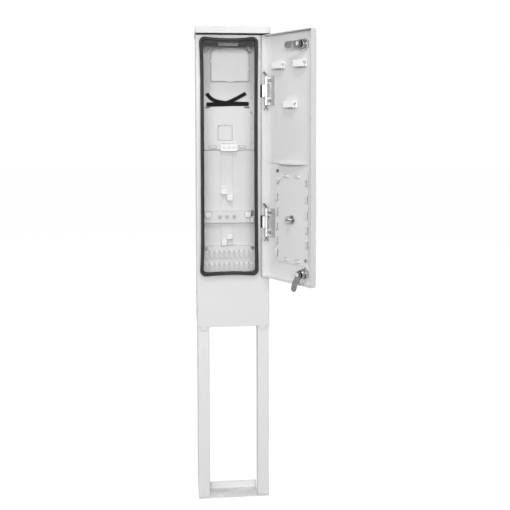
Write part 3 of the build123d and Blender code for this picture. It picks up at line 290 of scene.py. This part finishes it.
# %% [markdown]
# Folded edges get a thinner coat and are rubbed first. They could be painted by hand on each piece.
# Instead, the Bevel node rounds the normals near an edge: where they differ from the true ones is the mask,
# and the rounded normal itself takes the hardness off the fold.

# %% Edge rub
EDGE_GAIN = 4.0
edge_rub, given, result = start_group(
    "Edge rub",
    [("Vector", "Vector", None), ("Radius", "Float", 0.0008), ("Breakup Scale", "Float", 60.0)],
    [("Mask", "Float"), ("Normal", "Vector")],
)
rounded = add_node(edge_rub, "Bevel", {"samples": 4}, Radius=given["Radius"]).outputs["Normal"]
flat = add_node(edge_rub, "NewGeometry").outputs["Normal"]
alike = add_node(edge_rub, "VectorMath", {"operation": "DOT_PRODUCT"}, i0=rounded, i1=flat).outputs["Value"]
apart = math_node(edge_rub, "SUBTRACT", 1.0, alike)
turned = math_node(edge_rub, "MULTIPLY", apart, EDGE_GAIN, clamp=True)
patchy = noise(edge_rub, given["Vector"], given["Breakup Scale"], 3.0)
worn = stretch(edge_rub, patchy, 0.35, 0.65)
edge_rub.links.new(math_node(edge_rub, "MULTIPLY", turned, worn), result["Mask"])
edge_rub.links.new(rounded, result["Normal"])
print("made", edge_rub.name)

# %% [markdown]
# Dust settles on what faces up, in drifts. The upward part of the normal finds those faces on every piece,
# and noise thins the layer, which saves painting a mask for each one.

# %% Settled dust
settled_dust, given, result = start_group(
    "Settled dust",
    [("Vector", "Vector", None), ("Scale", "Float", 25.0)],
    [("Mask", "Float")],
)
normal = add_node(settled_dust, "NewGeometry").outputs["Normal"]
facing = add_node(settled_dust, "SeparateXYZ", Vector=normal).outputs["Z"]
upward = stretch(settled_dust, facing, 0.55, 0.95)
drift = noise(settled_dust, given["Vector"], given["Scale"], 5.0)
thick = stretch(settled_dust, drift, 0.35, 0.75)
settled_dust.links.new(math_node(settled_dust, "MULTIPLY", upward, thick), result["Mask"])
print("made", settled_dust.name)

# %% [markdown]
# Corners, gaps and the feet of raised parts are darkened here as painted shade. Ambient occlusion finds
# them: it asks how much of the space in front of a point is open, within a reach that each finish sets
# for itself.

# %% Painted crevice shade
crevice_shade, given, result = start_group(
    "Painted crevice shade",
    [("Vector", "Vector", None), ("Reach", "Float", 0.003), ("Breakup Scale", "Float", 90.0)],
    [("Mask", "Float")],
)
exposed = add_node(crevice_shade, "AmbientOcclusion", {"samples": 6}, Distance=given["Reach"]).outputs["AO"]
occluded = stretch(crevice_shade, exposed, 0.92, 0.5)
speckle = noise(crevice_shade, given["Vector"], given["Breakup Scale"], 3.0)
uneven = stretch(crevice_shade, speckle, 0.2, 0.6, least=0.55)
crevice_shade.links.new(math_node(crevice_shade, "MULTIPLY", occluded, uneven), result["Mask"])
print("made", crevice_shade.name)

# %% [markdown]
# ## Powder coat
# All sheet is coated in one light grey. One material could serve it all, but the cap, door, housing, ground
# frame and inner plates differ a little in tone and gloss, as pieces sprayed in separate batches do, and
# they take painted shade in their corners to different depths. The cap's coat is darker still, as painted
# shade that keeps its front from glaring under the lamps. So one function makes the coat, and each group
# of pieces gets its own values.

# %% Powder coat
COAT_RUB = 0.3
PEEL_DEPTH = 0.0004
# Shares of the coat's own level: drift in tone, primer at rubbed folds, painted corner shade, yellowish
# dust.
COAT_SHADE, COAT_PRIMER, COAT_CORNER_SHADE = 0.955, 0.80, 0.4
COAT_DUST = (0.81, 0.81, 0.80)


def lay_over(tree, mask, cover, below, above):
    """Lay a colour over another where a mask is. A cover above 1 also closes the mask's thin places."""
    return blend_colour(tree, math_node(tree, "MULTIPLY", mask, cover), below, above)


def powder_coat(name, level, roughness, ripple=900.0, peel=0.10, shade_cover=0.5, shade_reach=0.009,
                dust_and_shade_cover=0.45):
    """A grey coat: orange peel, rubbed folds, dust on top, painted shade in corners out to a given reach."""
    made, tree, out, where = start_material(name)
    coat = use_group(tree, surface_ripple, Vector=where, Scale=ripple, Drift_Scale=7.0)
    rub = use_group(tree, edge_rub, Vector=where, Radius=0.0009, Breakup_Scale=55.0)
    dust = use_group(tree, settled_dust, Vector=where, Scale=22.0)
    # Painted shade: ambient occlusion darkens the coat in corners, in gaps and at the feet of raised parts.
    corner_shade = use_group(tree, crevice_shade, Vector=where, Reach=shade_reach, Breakup_Scale=40.0)
    dust_tone = (*(level * share for share in COAT_DUST), 1)
    tone = blend_colour(tree, coat["Drift"], grey(level), grey(level * COAT_SHADE))
    tone = lay_over(tree, rub["Mask"], COAT_RUB, tone, grey(level * COAT_PRIMER))
    tone = lay_over(tree, dust["Mask"], dust_and_shade_cover, tone, dust_tone)
    tone = lay_over(tree, corner_shade["Mask"], shade_cover, tone, grey(level * COAT_CORNER_SHADE))
    bump = add_node(tree, "Bump", Strength=peel, Distance=PEEL_DEPTH, Height=coat["Height"],
                    Normal=rub["Normal"])
    gloss = spread(tree, coat["Drift"], roughness - 0.05, roughness + 0.06)
    skin = add_node(tree, "BsdfPrincipled", Base_Color=tone, Roughness=gloss, Normal=bump.outputs[0])
    tree.links.new(skin.outputs[0], out.inputs["Surface"])
    return made


def dress(material, *names):
    """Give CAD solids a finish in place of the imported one."""
    for name in names:
        solids[name].data.materials.clear()
        solids[name].data.materials.append(material)
    print(material.name, "on", ", ".join(names))


# %% Coated pieces
# Each coat darkens its corners as painted shade, by its own amount and within its own reach: most on the
# rain cap, for the shade under its front edge, and on the inner plates, for the comb's tongues and lances.
housing_coat = powder_coat("housing_powder_coat", 0.78, 0.42, shade_cover=0.6)
# Painted shade: the cap's coat is darker than the housing's, which keeps its front from glaring under the
# lamps.
shaded_cap_coat = powder_coat("rain_cap_shaded_powder_coat", 0.70, 0.42, shade_cover=0.95, shade_reach=0.02)
door_coat = powder_coat("door_powder_coat", 0.76, 0.42, shade_cover=0.15, shade_reach=0.004)
frame_coat = powder_coat("ground_frame_powder_coat", 0.82, 0.46, ripple=800.0, dust_and_shade_cover=1.0)
# Painted shade: laid on three times over, the dust turns the crossbar's upward floor darker.
crossbar_coat = powder_coat("crossbar_powder_coat", 0.83, 0.46, ripple=800.0, shade_cover=0.15, shade_reach=0.004,
                            dust_and_shade_cover=3.0)
rack_coat = powder_coat("inner_plate_powder_coat", 0.81, 0.52, ripple=1100.0, peel=0.08, shade_cover=1.0,
                        shade_reach=0.004)
low_plate_coat = powder_coat("lower_plate_powder_coat", 0.77, 0.52, ripple=1100.0, peel=0.08, shade_cover=0.15,
                             shade_reach=0.003)
dress(housing_coat, "housing", "storage_plate")
dress(shaded_cap_coat, "rain_cap")
dress(door_coat, "door_panel", "door_shelf")
dress(frame_coat, "leg_left", "leg_right")
dress(crossbar_coat, "ground_crossbar")
dress(rack_coat, "upper_mounting_plate", "duct_comb", "clamp_bar")
dress(low_plate_coat, "lower_mounting_plate")

# %% [markdown]
# ## Plated and cast metal
# Hinges, hanger and screws are zinc plate over steel: silvery, with fine lines along the rolling direction
# and a faint blue haze. The pins of the hinges are plain, darker steel. The locks are nickel over a zinc
# casting, darker too and with rubbed edges, and their nuts and the knob are brighter chrome. Each could have
# a shader of its own. One with other levels serves them all, because what tells them apart is how bright,
# how dull in patches and how finely lined they are.

# %% Metal
BRIGHT_BLUE, DULL_BLUE = 1.01, 1.02
METAL_RUB, METAL_DUST = 0.6, 0.2
METAL_DUST_TONE = (0.42, 0.40, 0.37, 1)
METAL_CORNER_SHADE = 0.03
ROLLING_SCALE, ROLLING_SHARE = 1500.0, 0.45
ROLLING_DEPTH = 0.0002
# Noise scale by axis. A low one along Z draws the lines out: far on rolled steel, a little on a casting.
ROLLED, CAST, TURNED = (1, 1, 0.08), (1, 1, 0.3), (1, 1, 1)


def plated_metal(name, bright, dull, roughness, lines, rub_level, shade_cover=0.85, shade_reach=0.0025):
    """Plated metal between a bright and a dull level, with fine lines, rubbed edges, painted corner shade.
    """
    made, tree, out, where = start_material(name)
    stretched = add_node(tree, "Mapping", Vector=where, Scale=lines).outputs[0]
    rolled = noise(tree, stretched, ROLLING_SCALE, 2.0)
    haze = use_group(tree, surface_ripple, Vector=where, Scale=420.0, Drift_Scale=60.0)
    rub = use_group(tree, edge_rub, Vector=where, Radius=0.0005, Breakup_Scale=160.0)
    dust = use_group(tree, settled_dust, Vector=where, Scale=90.0)
    # Painted shade: ambient occlusion darkens the metal in corners and gaps, down to near black.
    corner_shade = use_group(tree, crevice_shade, Vector=where, Reach=shade_reach, Breakup_Scale=220.0)
    bright_tone = (bright, bright, bright * BRIGHT_BLUE, 1)
    dull_tone = (dull, dull, dull * DULL_BLUE, 1)
    tone = blend_colour(tree, haze["Drift"], bright_tone, dull_tone)
    tone = lay_over(tree, rub["Mask"], METAL_RUB, tone, grey(rub_level))
    tone = lay_over(tree, dust["Mask"], METAL_DUST, tone, METAL_DUST_TONE)
    tone = lay_over(tree, corner_shade["Mask"], shade_cover, tone, grey(METAL_CORNER_SHADE))
    streak = add_node(tree, "Mix", Factor=ROLLING_SHARE, i2=haze["Height"], i3=rolled).outputs[0]
    bump = add_node(tree, "Bump", Strength=0.12, Distance=ROLLING_DEPTH, Height=streak, Normal=rub["Normal"])
    gloss = spread(tree, rolled, roughness - 0.07, roughness + 0.09)
    skin = add_node(tree, "BsdfPrincipled", Base_Color=tone, Metallic=1.0, Roughness=gloss,
                    Normal=bump.outputs[0])
    tree.links.new(skin.outputs[0], out.inputs["Surface"])
    return made


# %% Metal pieces
bright_zinc = plated_metal("bright_zinc_plate", 0.64, 0.52, 0.42, ROLLED, rub_level=0.85)
# Painted light: the hanger's zinc is set far brighter than the other zinc, so that it reads as lit in the
# shade at the top of the cavity.
lit_hanger_zinc = plated_metal("hanger_zinc_plate_painted_light", 0.95, 0.88, 0.30, ROLLED, rub_level=0.95, shade_cover=0.5)
leaf_zinc = plated_metal("hinge_leaf_zinc_plate", 0.68, 0.56, 0.48, ROLLED, rub_level=0.85, shade_cover=0.25)
screw_zinc = plated_metal("screw_zinc_plate", 0.48, 0.34, 0.30, TURNED, rub_level=0.7, shade_cover=0.7)
lock_nickel = plated_metal("cast_nickel_lock", 0.28, 0.19, 0.20, CAST, rub_level=0.65, shade_cover=0.7)
nut_chrome = plated_metal("lock_nut_chrome", 0.76, 0.60, 0.16, CAST, rub_level=0.9, shade_cover=0.8,
                          shade_reach=0.004)
knob_chrome = plated_metal("knob_chrome", 0.55, 0.42, 0.15, TURNED, rub_level=0.8)
pin_steel = plated_metal("pin_steel", 0.20, 0.11, 0.36, ROLLED, rub_level=0.35)
dress(lit_hanger_zinc, "tray_hanger")
dress(knob_chrome, "wing_knob")
dress(screw_zinc, "cap_screws", "frame_bolts", "frame_nuts", "clamp_bar_screws", "comb_screws",
      "hinge_screws", "storage_screws")
for side in ("upper", "lower"):
    dress(bright_zinc, f"{side}_hinge_arm")
    dress(leaf_zinc, f"{side}_hinge_leaf")
    dress(pin_steel, f"{side}_hinge_pin")
    dress(lock_nickel, f"{side}_lock_housing", f"{side}_lock_insert", f"{side}_lock_cam")
    dress(nut_chrome, f"{side}_lock_nut", f"{side}_cam_screw")

# %% [markdown]
# ## Moulded plastic
# The splice tray, its lid and the cable clips are injection moulded. A spark-eroded mould leaves a fine,
# even grain, and thin walls look a touch darker than the solid white clips. The grain is far too fine to
# model, so it is bump alone.

# %% Plastics
PLASTIC_DUST, PLASTIC_CORNER_SHADE = 0.3, 0.4
GRAIN_DEPTH = 0.0003
# Shares of the plastic's own level: its drift in tone, dust and painted corner shade.
PLASTIC_SHADE, PLASTIC_DUST_TONE, PLASTIC_CORNER_SHADE_TONE = 0.96, 0.85, 0.4


def moulded_plastic(name, level, roughness, grain):
    """White plastic with a spark-eroded grain."""
    made, tree, out, where = start_material(name)
    spark = use_group(tree, surface_ripple, Vector=where, Scale=grain, Drift_Scale=30.0)
    rub = use_group(tree, edge_rub, Vector=where, Radius=0.0007, Breakup_Scale=200.0)
    dust = use_group(tree, settled_dust, Vector=where, Scale=70.0)
    # Painted shade: ambient occlusion darkens the plastic in corners and gaps.
    corner_shade = use_group(tree, crevice_shade, Vector=where, Reach=0.003, Breakup_Scale=150.0)
    tone = blend_colour(tree, spark["Drift"], grey(level), grey(level * PLASTIC_SHADE))
    tone = lay_over(tree, dust["Mask"], PLASTIC_DUST, tone, grey(level * PLASTIC_DUST_TONE))
    tone = lay_over(tree, corner_shade["Mask"], PLASTIC_CORNER_SHADE, tone, grey(level * PLASTIC_CORNER_SHADE_TONE))
    bump = add_node(tree, "Bump", Strength=0.10, Distance=GRAIN_DEPTH, Height=spark["Height"],
                    Normal=rub["Normal"])
    gloss = spread(tree, spark["Drift"], roughness - 0.05, roughness + 0.05)
    skin = add_node(tree, "BsdfPrincipled", Base_Color=tone, Roughness=gloss, Normal=bump.outputs[0])
    tree.links.new(skin.outputs[0], out.inputs["Surface"])
    return made


tray_plastic = moulded_plastic("splice_tray_plastic", 0.93, 0.55, 1800.0)
clip_plastic = moulded_plastic("clip_plastic", 0.96, 0.32, 2200.0)
dress(tray_plastic, "splice_tray", "splice_holder", "tray_lid", "fibre_guides")
dress(clip_plastic, "cable_clips", "door_clips", "clamp_blocks", "tie_bracket")

# %% [markdown]
# ## A loft for soft and bent pieces
# The seal, the strap, the split pins and the lock threads are all one outline carried along a line. A curve
# with a bevel object would give the same walls, but less say over how the outline turns. So the helper sets
# the outline at each station of the line and lets Blender's bridge operator make the walls between
# neighbours.

# %% Loft helper
def loft(shape, outline, stations, closed=False, capped=True):
    """Carry a closed outline of (u, v) pairs along stations of (point, u direction, v direction)."""
    rings = []
    for at, u_way, v_way in stations:
        ring = [shape.verts.new(at + u_way * u + v_way * v) for u, v in outline]
        rings.append([shape.edges.new(pair) for pair in zip(ring, ring[1:] + ring[:1])])
    for first, second in zip(rings, rings[1:] + (rings[:1] if closed else [])):
        bmesh.ops.bridge_loops(shape, edges=first + second)
    if capped and not closed:
        for end in (rings[0], rings[-1]):
            bmesh.ops.contextual_create(shape, geom=end)
    bmesh.ops.recalc_face_normals(shape, faces=shape.faces[:])


def round_outline(half_wide, half_high, power, steps):
    """A closed outline: an ellipse at power 1, squarer below it."""
    def squared(value):
        return math.copysign(abs(value) ** power, value)

    turns = [2 * math.pi * i / steps for i in range(steps)]
    return [(half_wide * squared(math.cos(t)), half_high * squared(math.sin(t))) for t in turns]


def finish_piece(name, shape, body, slot_name, material, *stands_for):
    """Turn a bmesh into a piece that rides on a body, in place of the CAD nodes that it stands for."""
    mesh = bpy.data.meshes.new(name)
    shape.to_mesh(mesh)
    shape.free()
    mesh.shade_smooth()
    piece = bpy.data.objects.new(name, mesh)
    scene.collection.objects.link(piece)
    mesh.materials.append(material)
    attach(piece, body)
    if stands_for:
        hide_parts(*stands_for)
    print(name, len(mesh.polygons), "faces on", body)


# %% [markdown]
# ## Door seal
# A black foam-rubber bulb on a push-on trim runs round the door opening. Rubber pushed round a tight corner
# stands proud there and pulls in along the straights, so the line of the bulb bows. A straight CAD ring
# can't show that, so the seal is lofted along a line whose distance from the opening grows towards the
# corners.

# %% Rubber
RUBBER_PALE, RUBBER_DARK = (0.026, 0.026, 0.0265, 1), (0.018, 0.018, 0.0185, 1)
RUBBER_DUST, RUBBER_DUST_TONE = 0.5, (0.12, 0.12, 0.115, 1)
SKIN_DEPTH = 0.0003
seal_rubber, tree, out, where = start_material("seal_foam_rubber")
skin_grain = use_group(tree, surface_ripple, Vector=where, Scale=1500.0, Drift_Scale=24.0)
dust = use_group(tree, settled_dust, Vector=where, Scale=60.0)
tone = blend_colour(tree, skin_grain["Drift"], RUBBER_PALE, RUBBER_DARK)
tone = lay_over(tree, dust["Mask"], RUBBER_DUST, tone, RUBBER_DUST_TONE)
bump = add_node(tree, "Bump", Strength=0.25, Distance=SKIN_DEPTH, Height=skin_grain["Height"])
gloss = spread(tree, skin_grain["Drift"], 0.52, 0.66)
rubber = add_node(tree, "BsdfPrincipled", Base_Color=tone, Roughness=gloss, Specular_IOR_Level=0.3,
                  Normal=bump.outputs[0])
tree.links.new(rubber.outputs[0], out.inputs["Surface"])
print("made", seal_rubber.name)

# %% Line of the seal
OPENING_LEFT, OPENING_RIGHT = -73.0, 53.9
OPENING_LOW, OPENING_HIGH = 553.5, 1108.0
SEAL_CORNER = 9.5
# The bulb sits on the front of its trim, and its corners lie this far outside the opening.
TRIM_FRONT, CORNER_REACH = -2.6, 2.4
SIDE_STEPS, CORNER_STEPS = 26, 9
# How much each side pulls in, and how late it flares out to its corners: right, top, left, bottom.
SAGS = (1.9, 3.6, 2.6, 2.5)
NO_SAGS = (0, 0, 0, 0)
FLARES = (3, 2, 7, 2)
ALONG_BOTTOM = 3
JOINT_HALF, JOINT_PINCH = 0.008, 0.86
FORWARD = Vector((0, -1, 0))


def seal_stations(corner_reach, sags, depth):
    """Stations round the opening, anticlockwise from its right side. Each side pulls in by its sag between
    corners that lie corner_reach outside the opening, and the two ends meet in a pinch at the bottom."""
    middle_x, middle_z = (OPENING_LEFT + OPENING_RIGHT) / 2, (OPENING_LOW + OPENING_HIGH) / 2
    half_x = (OPENING_RIGHT - OPENING_LEFT) / 2 + corner_reach - SEAL_CORNER
    half_z = (OPENING_HIGH - OPENING_LOW) / 2 + corner_reach - SEAL_CORNER
    placed = []
    for quarter, (sag, flare) in enumerate(zip(sags, FLARES)):
        turn = quarter * math.pi / 2
        run, away = (half_z, half_x) if quarter % 2 == 0 else (half_x, half_z)
        shares = [2 * step / SIDE_STEPS - 1 for step in range(SIDE_STEPS)]
        if quarter == ALONG_BOTTOM:
            shares = sorted(shares + [-JOINT_HALF, JOINT_HALF])
        spots = [(away + SEAL_CORNER - sag * (1 - abs(share) ** flare), run * share, 0.0)
                 for share in shares]
        for step in range(CORNER_STEPS):
            lean = math.pi / 2 * step / CORNER_STEPS
            spots.append((away + SEAL_CORNER * math.cos(lean), run + SEAL_CORNER * math.sin(lean), lean))
        for across, along, lean in spots:
            pinch = JOINT_PINCH if quarter == ALONG_BOTTOM and along == 0 else 1.0
            x = across * math.cos(turn) - along * math.sin(turn)
            z = across * math.sin(turn) + along * math.cos(turn)
            outward = Vector((math.cos(turn + lean), 0, math.sin(turn + lean)))
            spot = place(middle_x + x, depth, middle_z + z)
            placed.append((spot, outward * pinch * MM, FORWARD * pinch * MM))
    return placed


bulb_line = seal_stations(CORNER_REACH, SAGS, TRIM_FRONT)
trim_line = seal_stations(0.0, NO_SAGS, 0.0)
print("seal stations", len(bulb_line))

# %% Door seal
BULB_HALF, BULB_DEPTH = 4.1, 10.0
bulb = round_outline(BULB_HALF, BULB_DEPTH / 2, power=0.8, steps=20)
bulb_outline = [(u, v + BULB_DEPTH / 2) for u, v in bulb]
# The trim's section, outward and forward, with a slot for the edge of the sheet.
TRIM_OUTLINE = [(-1.6, -3.1), (3.4, -3.1), (3.6, -2.9), (3.6, -1.8), (3.4, -1.6), (-0.1, -1.6), (-0.1, 0.1),
                (3.4, 0.1), (3.6, 0.3), (3.6, 2.5), (3.2, 2.8), (-1.2, 2.8), (-1.6, 2.4)]
shape = bmesh.new()
loft(shape, bulb_outline, bulb_line, closed=True)
loft(shape, TRIM_OUTLINE, trim_line, closed=True)
finish_piece("door_seal", shape, "cabinet", "seal_rubber", seal_rubber, "door_gasket")

# %% [markdown]
# ## Strips of painted shade
# Each hinge arm comes out through a slot that is wider than the arm, and the photograph shows a black bar
# in the free part of the slot. It also shows a dark line under the front edge of the rain cap. Both are
# taken here for strips of the same foam rubber, which is a guess. Both are painted shade: strips of the
# seal's black foam rubber lie where the free part of each slot and the gap under the cap are in shadow.
# Each is a cube fitted between two corners and bevelled, because the photograph tells no more of its
# section.

# %% Strips of painted shade
STRIP_EDGE = 0.2
SLOT_LEFT, SLOT_RIGHT = 65.85, 69.7
SLOT_FRONT, SLOT_BACK = 5.3, 6.3
SLOT_HALF = 15.0
HINGE_LEVELS = {"upper": 988.0, "lower": 674.5}
CAP_STRIP_HALF = 86.8
CAP_STRIP_FRONT, CAP_STRIP_BACK = -1.1, -0.1
CAP_STRIP_LOW, CAP_STRIP_HIGH = 1119.6, 1121.9


def shade_strip(name, low, high):
    """A square strip of painted shade with softened edges, between two corners in millimetres."""
    shape = bmesh.new()
    bmesh.ops.create_cube(shape, size=1)
    first, last = place(*low), place(*high)
    fitted = Matrix.Translation((first + last) / 2) @ Matrix.Diagonal((*(last - first), 1))
    bmesh.ops.transform(shape, matrix=fitted, verts=shape.verts[:])
    bmesh.ops.bevel(shape, geom=shape.edges[:], offset=STRIP_EDGE * MM, affect="EDGES", segments=2,
                    profile=0.5, material=-1)
    finish_piece(name, shape, "cabinet", "seal_rubber", seal_rubber)


# Painted shade: a black strip fills the free part of each hinge slot, and one lies under the cap's front
# edge.
for side, level in HINGE_LEVELS.items():
    shade_strip(f"{side}_slot_shade_strip", (SLOT_LEFT, SLOT_FRONT, level - SLOT_HALF),
                 (SLOT_RIGHT, SLOT_BACK, level + SLOT_HALF))
shade_strip("cap_shade_strip", (-CAP_STRIP_HALF, CAP_STRIP_FRONT, CAP_STRIP_LOW),
             (CAP_STRIP_HALF, CAP_STRIP_BACK, CAP_STRIP_HIGH))

# %% [markdown]
# ## Hook-and-loop strap
# A cable strap of black hook-and-loop tape is laced through the two slots of the upper plate. Its middle
# lies against the plate, and its two free ends curl up out of the crossing. A cloth simulation would move
# the ends away from where they are photographed, so each run is lofted along its own smooth line.

# %% Strap tape
PILE_DARK, PILE_PALE = 0.006, 0.022
PILE_DEPTH = 0.0006
strap_tape, tree, out, where = start_material("hook_loop_tape")
pile = use_group(tree, surface_ripple, Vector=where, Scale=2600.0, Drift_Scale=120.0)
tone = blend_colour(tree, pile["Height"], grey(PILE_DARK), grey(PILE_PALE))
bump = add_node(tree, "Bump", Strength=0.7, Distance=PILE_DEPTH, Height=pile["Height"])
gloss = spread(tree, pile["Drift"], 0.80, 0.95)
tape = add_node(tree, "BsdfPrincipled", Base_Color=tone, Roughness=gloss, Specular_IOR_Level=0.2,
                Sheen_Weight=0.05, Normal=bump.outputs[0])
tree.links.new(tape.outputs[0], out.inputs["Surface"])
print("made", strap_tape.name)

# %% Lines of the strap
PLATE_FACE = 104.0
LINE_STEPS = 22
# Points in millimetres: across, up, and how far the tape stands off the plate.
ACROSS_PLATE = [(-58.7, 959.0, 0.8), (-41.1, 958.5, 0.8), (-13.1, 959.5, 1.0), (14.9, 960.5, 1.0),
                (34.9, 960.0, 0.8), (47.5, 960.0, 0.9)]
LEFT_END = [(-58.1, 986.0, 2.0), (-50.1, 974.5, 2.4), (-35.1, 966.5, 2.2), (-11.1, 962.5, 2.0),
            (10.9, 960.0, 2.0)]
RIGHT_END = [(-25.1, 958.5, 3.1), (-5.1, 963.5, 3.1), (12.9, 972.0, 3.1), (28.9, 980.5, 2.9),
             (39.9, 986.5, 2.6)]


def smooth_line(points):
    """Points along the NURBS spline that follows the given ones."""
    path = bpy.data.curves.new("tape_line", "CURVE")
    path.dimensions = "3D"
    spline = path.splines.new("NURBS")
    spline.points.add(len(points) - 1)
    for spot, (x, z, off) in zip(spline.points, points):
        spot.co = (*place(x, PLATE_FACE - off, z), 1)
    spline.order_u = 3
    spline.use_endpoint_u = True
    spline.resolution_u = LINE_STEPS
    line = bpy.data.objects.new("tape_line", path)
    traced = bpy.data.meshes.new_from_object(line)
    spots = [v.co.copy() for v in traced.vertices]
    bpy.data.objects.remove(line)
    bpy.data.curves.remove(path)
    bpy.data.meshes.remove(traced)
    return spots


def tape_run(points):
    """Stations along a smooth line, with the tape's face turned forward."""
    spots = smooth_line(points)
    stations = []
    for index, spot in enumerate(spots):
        ahead = (spots[min(index + 1, len(spots) - 1)] - spots[max(index - 1, 0)]).normalized()
        outwards = (FORWARD - ahead * FORWARD.dot(ahead)).normalized()
        stations.append((spot, ahead.cross(outwards) * MM, outwards * MM))
    return stations


across_plate, left_end, right_end = (tape_run(points) for points in (ACROSS_PLATE, LEFT_END, RIGHT_END))
print("strap stations", len(across_plate), len(left_end), len(right_end))

# %% Strap
TAPE_HALF_WIDTH, END_HALF_WIDTH = 5.2, 4.4
TAPE_HALF_THICK = 0.55
tape_outline = round_outline(TAPE_HALF_WIDTH, TAPE_HALF_THICK, power=0.45, steps=16)
end_outline = round_outline(END_HALF_WIDTH, TAPE_HALF_THICK, power=0.45, steps=16)
shape = bmesh.new()
loft(shape, tape_outline, across_plate)
loft(shape, end_outline, left_end)
loft(shape, end_outline, right_end)
finish_piece("cable_strap", shape, "cabinet", "strap_cloth", strap_tape, "hook_loop_strap")

# %% [markdown]
# ## Split ends of the hinge pins
# Each hinge pin is a long split pin: its head is bent over above the knuckles, and its two halves are
# spread apart below them so that it can't lift out. The CAD pin is one rod, so the spread halves are added
# here. A curve with a round bevel would do, but the loft is at hand and gives half a pin's oval section.

# %% Split pin ends
PIN_TIPS = {"upper": 948.85, "lower": 635.35}
PRONG_ROOT = 2.0
PRONG_HALF_WIDE, PRONG_HALF_DEEP = 1.0, 1.7
# Each station of a prong: how far below its root, and how far out from the pin's axis.
PRONG_BEND = ((-3.0, 0.5), (0.0, 0.8), (3.0, 1.6), (6.0, 3.2), (8.0, 4.6))
prong_outline = round_outline(PRONG_HALF_WIDE, PRONG_HALF_DEEP, power=0.8, steps=10)
across_pin, along_depth = Vector((MM, 0, 0)), Vector((0, MM, 0))
for side, tip in PIN_TIPS.items():
    shape = bmesh.new()
    for lean in (-1, 1):
        stations = []
        for drop, out_by in PRONG_BEND:
            at = place(HINGE_PIN_X + lean * out_by, HINGE_PIN_Y, tip + PRONG_ROOT - drop)
            stations.append((at, across_pin, along_depth))
        loft(shape, prong_outline, stations)
    finish_piece(f"{side}_pin_prongs", shape, "cabinet", "zinc_steel", pin_steel)

# %% [markdown]
# ## Lock threads
# Between its nut and its cam, the barrel of each lock shows the thread that the nut runs on. A true helix
# could be swept, but on a short barrel the eye can't tell it from rings. Spinning a zigzag makes rings too,
# with faces in another order on each run. So a circle is lofted along the lock's axis, narrow and wide in
# turn, and its ends stay open because the barrel fills them.

# %% Lock threads
LOCK_X = -51.9
LOCK_LEVELS = {"upper": 1087.0, "lower": 570.0}
BARREL_RADIUS, THREAD_RISE, THREAD_PITCH = 9.55, 0.55, 1.25
THREAD_START, THREAD_END = -8.4, 1.4
CIRCLE_STEPS = 40
unit_circle = round_outline(1, 1, power=1, steps=CIRCLE_STEPS)
ridges = int((THREAD_END - THREAD_START) / THREAD_PITCH)
zigzag = [(THREAD_START + i * THREAD_PITCH / 2, BARREL_RADIUS + (i % 2) * THREAD_RISE)
          for i in range(2 * ridges + 1)]
for side, level in LOCK_LEVELS.items():
    shape = bmesh.new()
    stations = []
    for depth, radius in zigzag:
        across, up = Vector((radius * MM, 0, 0)), Vector((0, 0, radius * MM))
        stations.append((place(LOCK_X, depth, level), across, up))
    loft(shape, unit_circle, stations, capped=False)
    bmesh.ops.transform(shape, matrix=door_swing, verts=shape.verts[:])
    finish_piece(f"{side}_lock_thread", shape, "door", "lock_metal", nut_chrome)
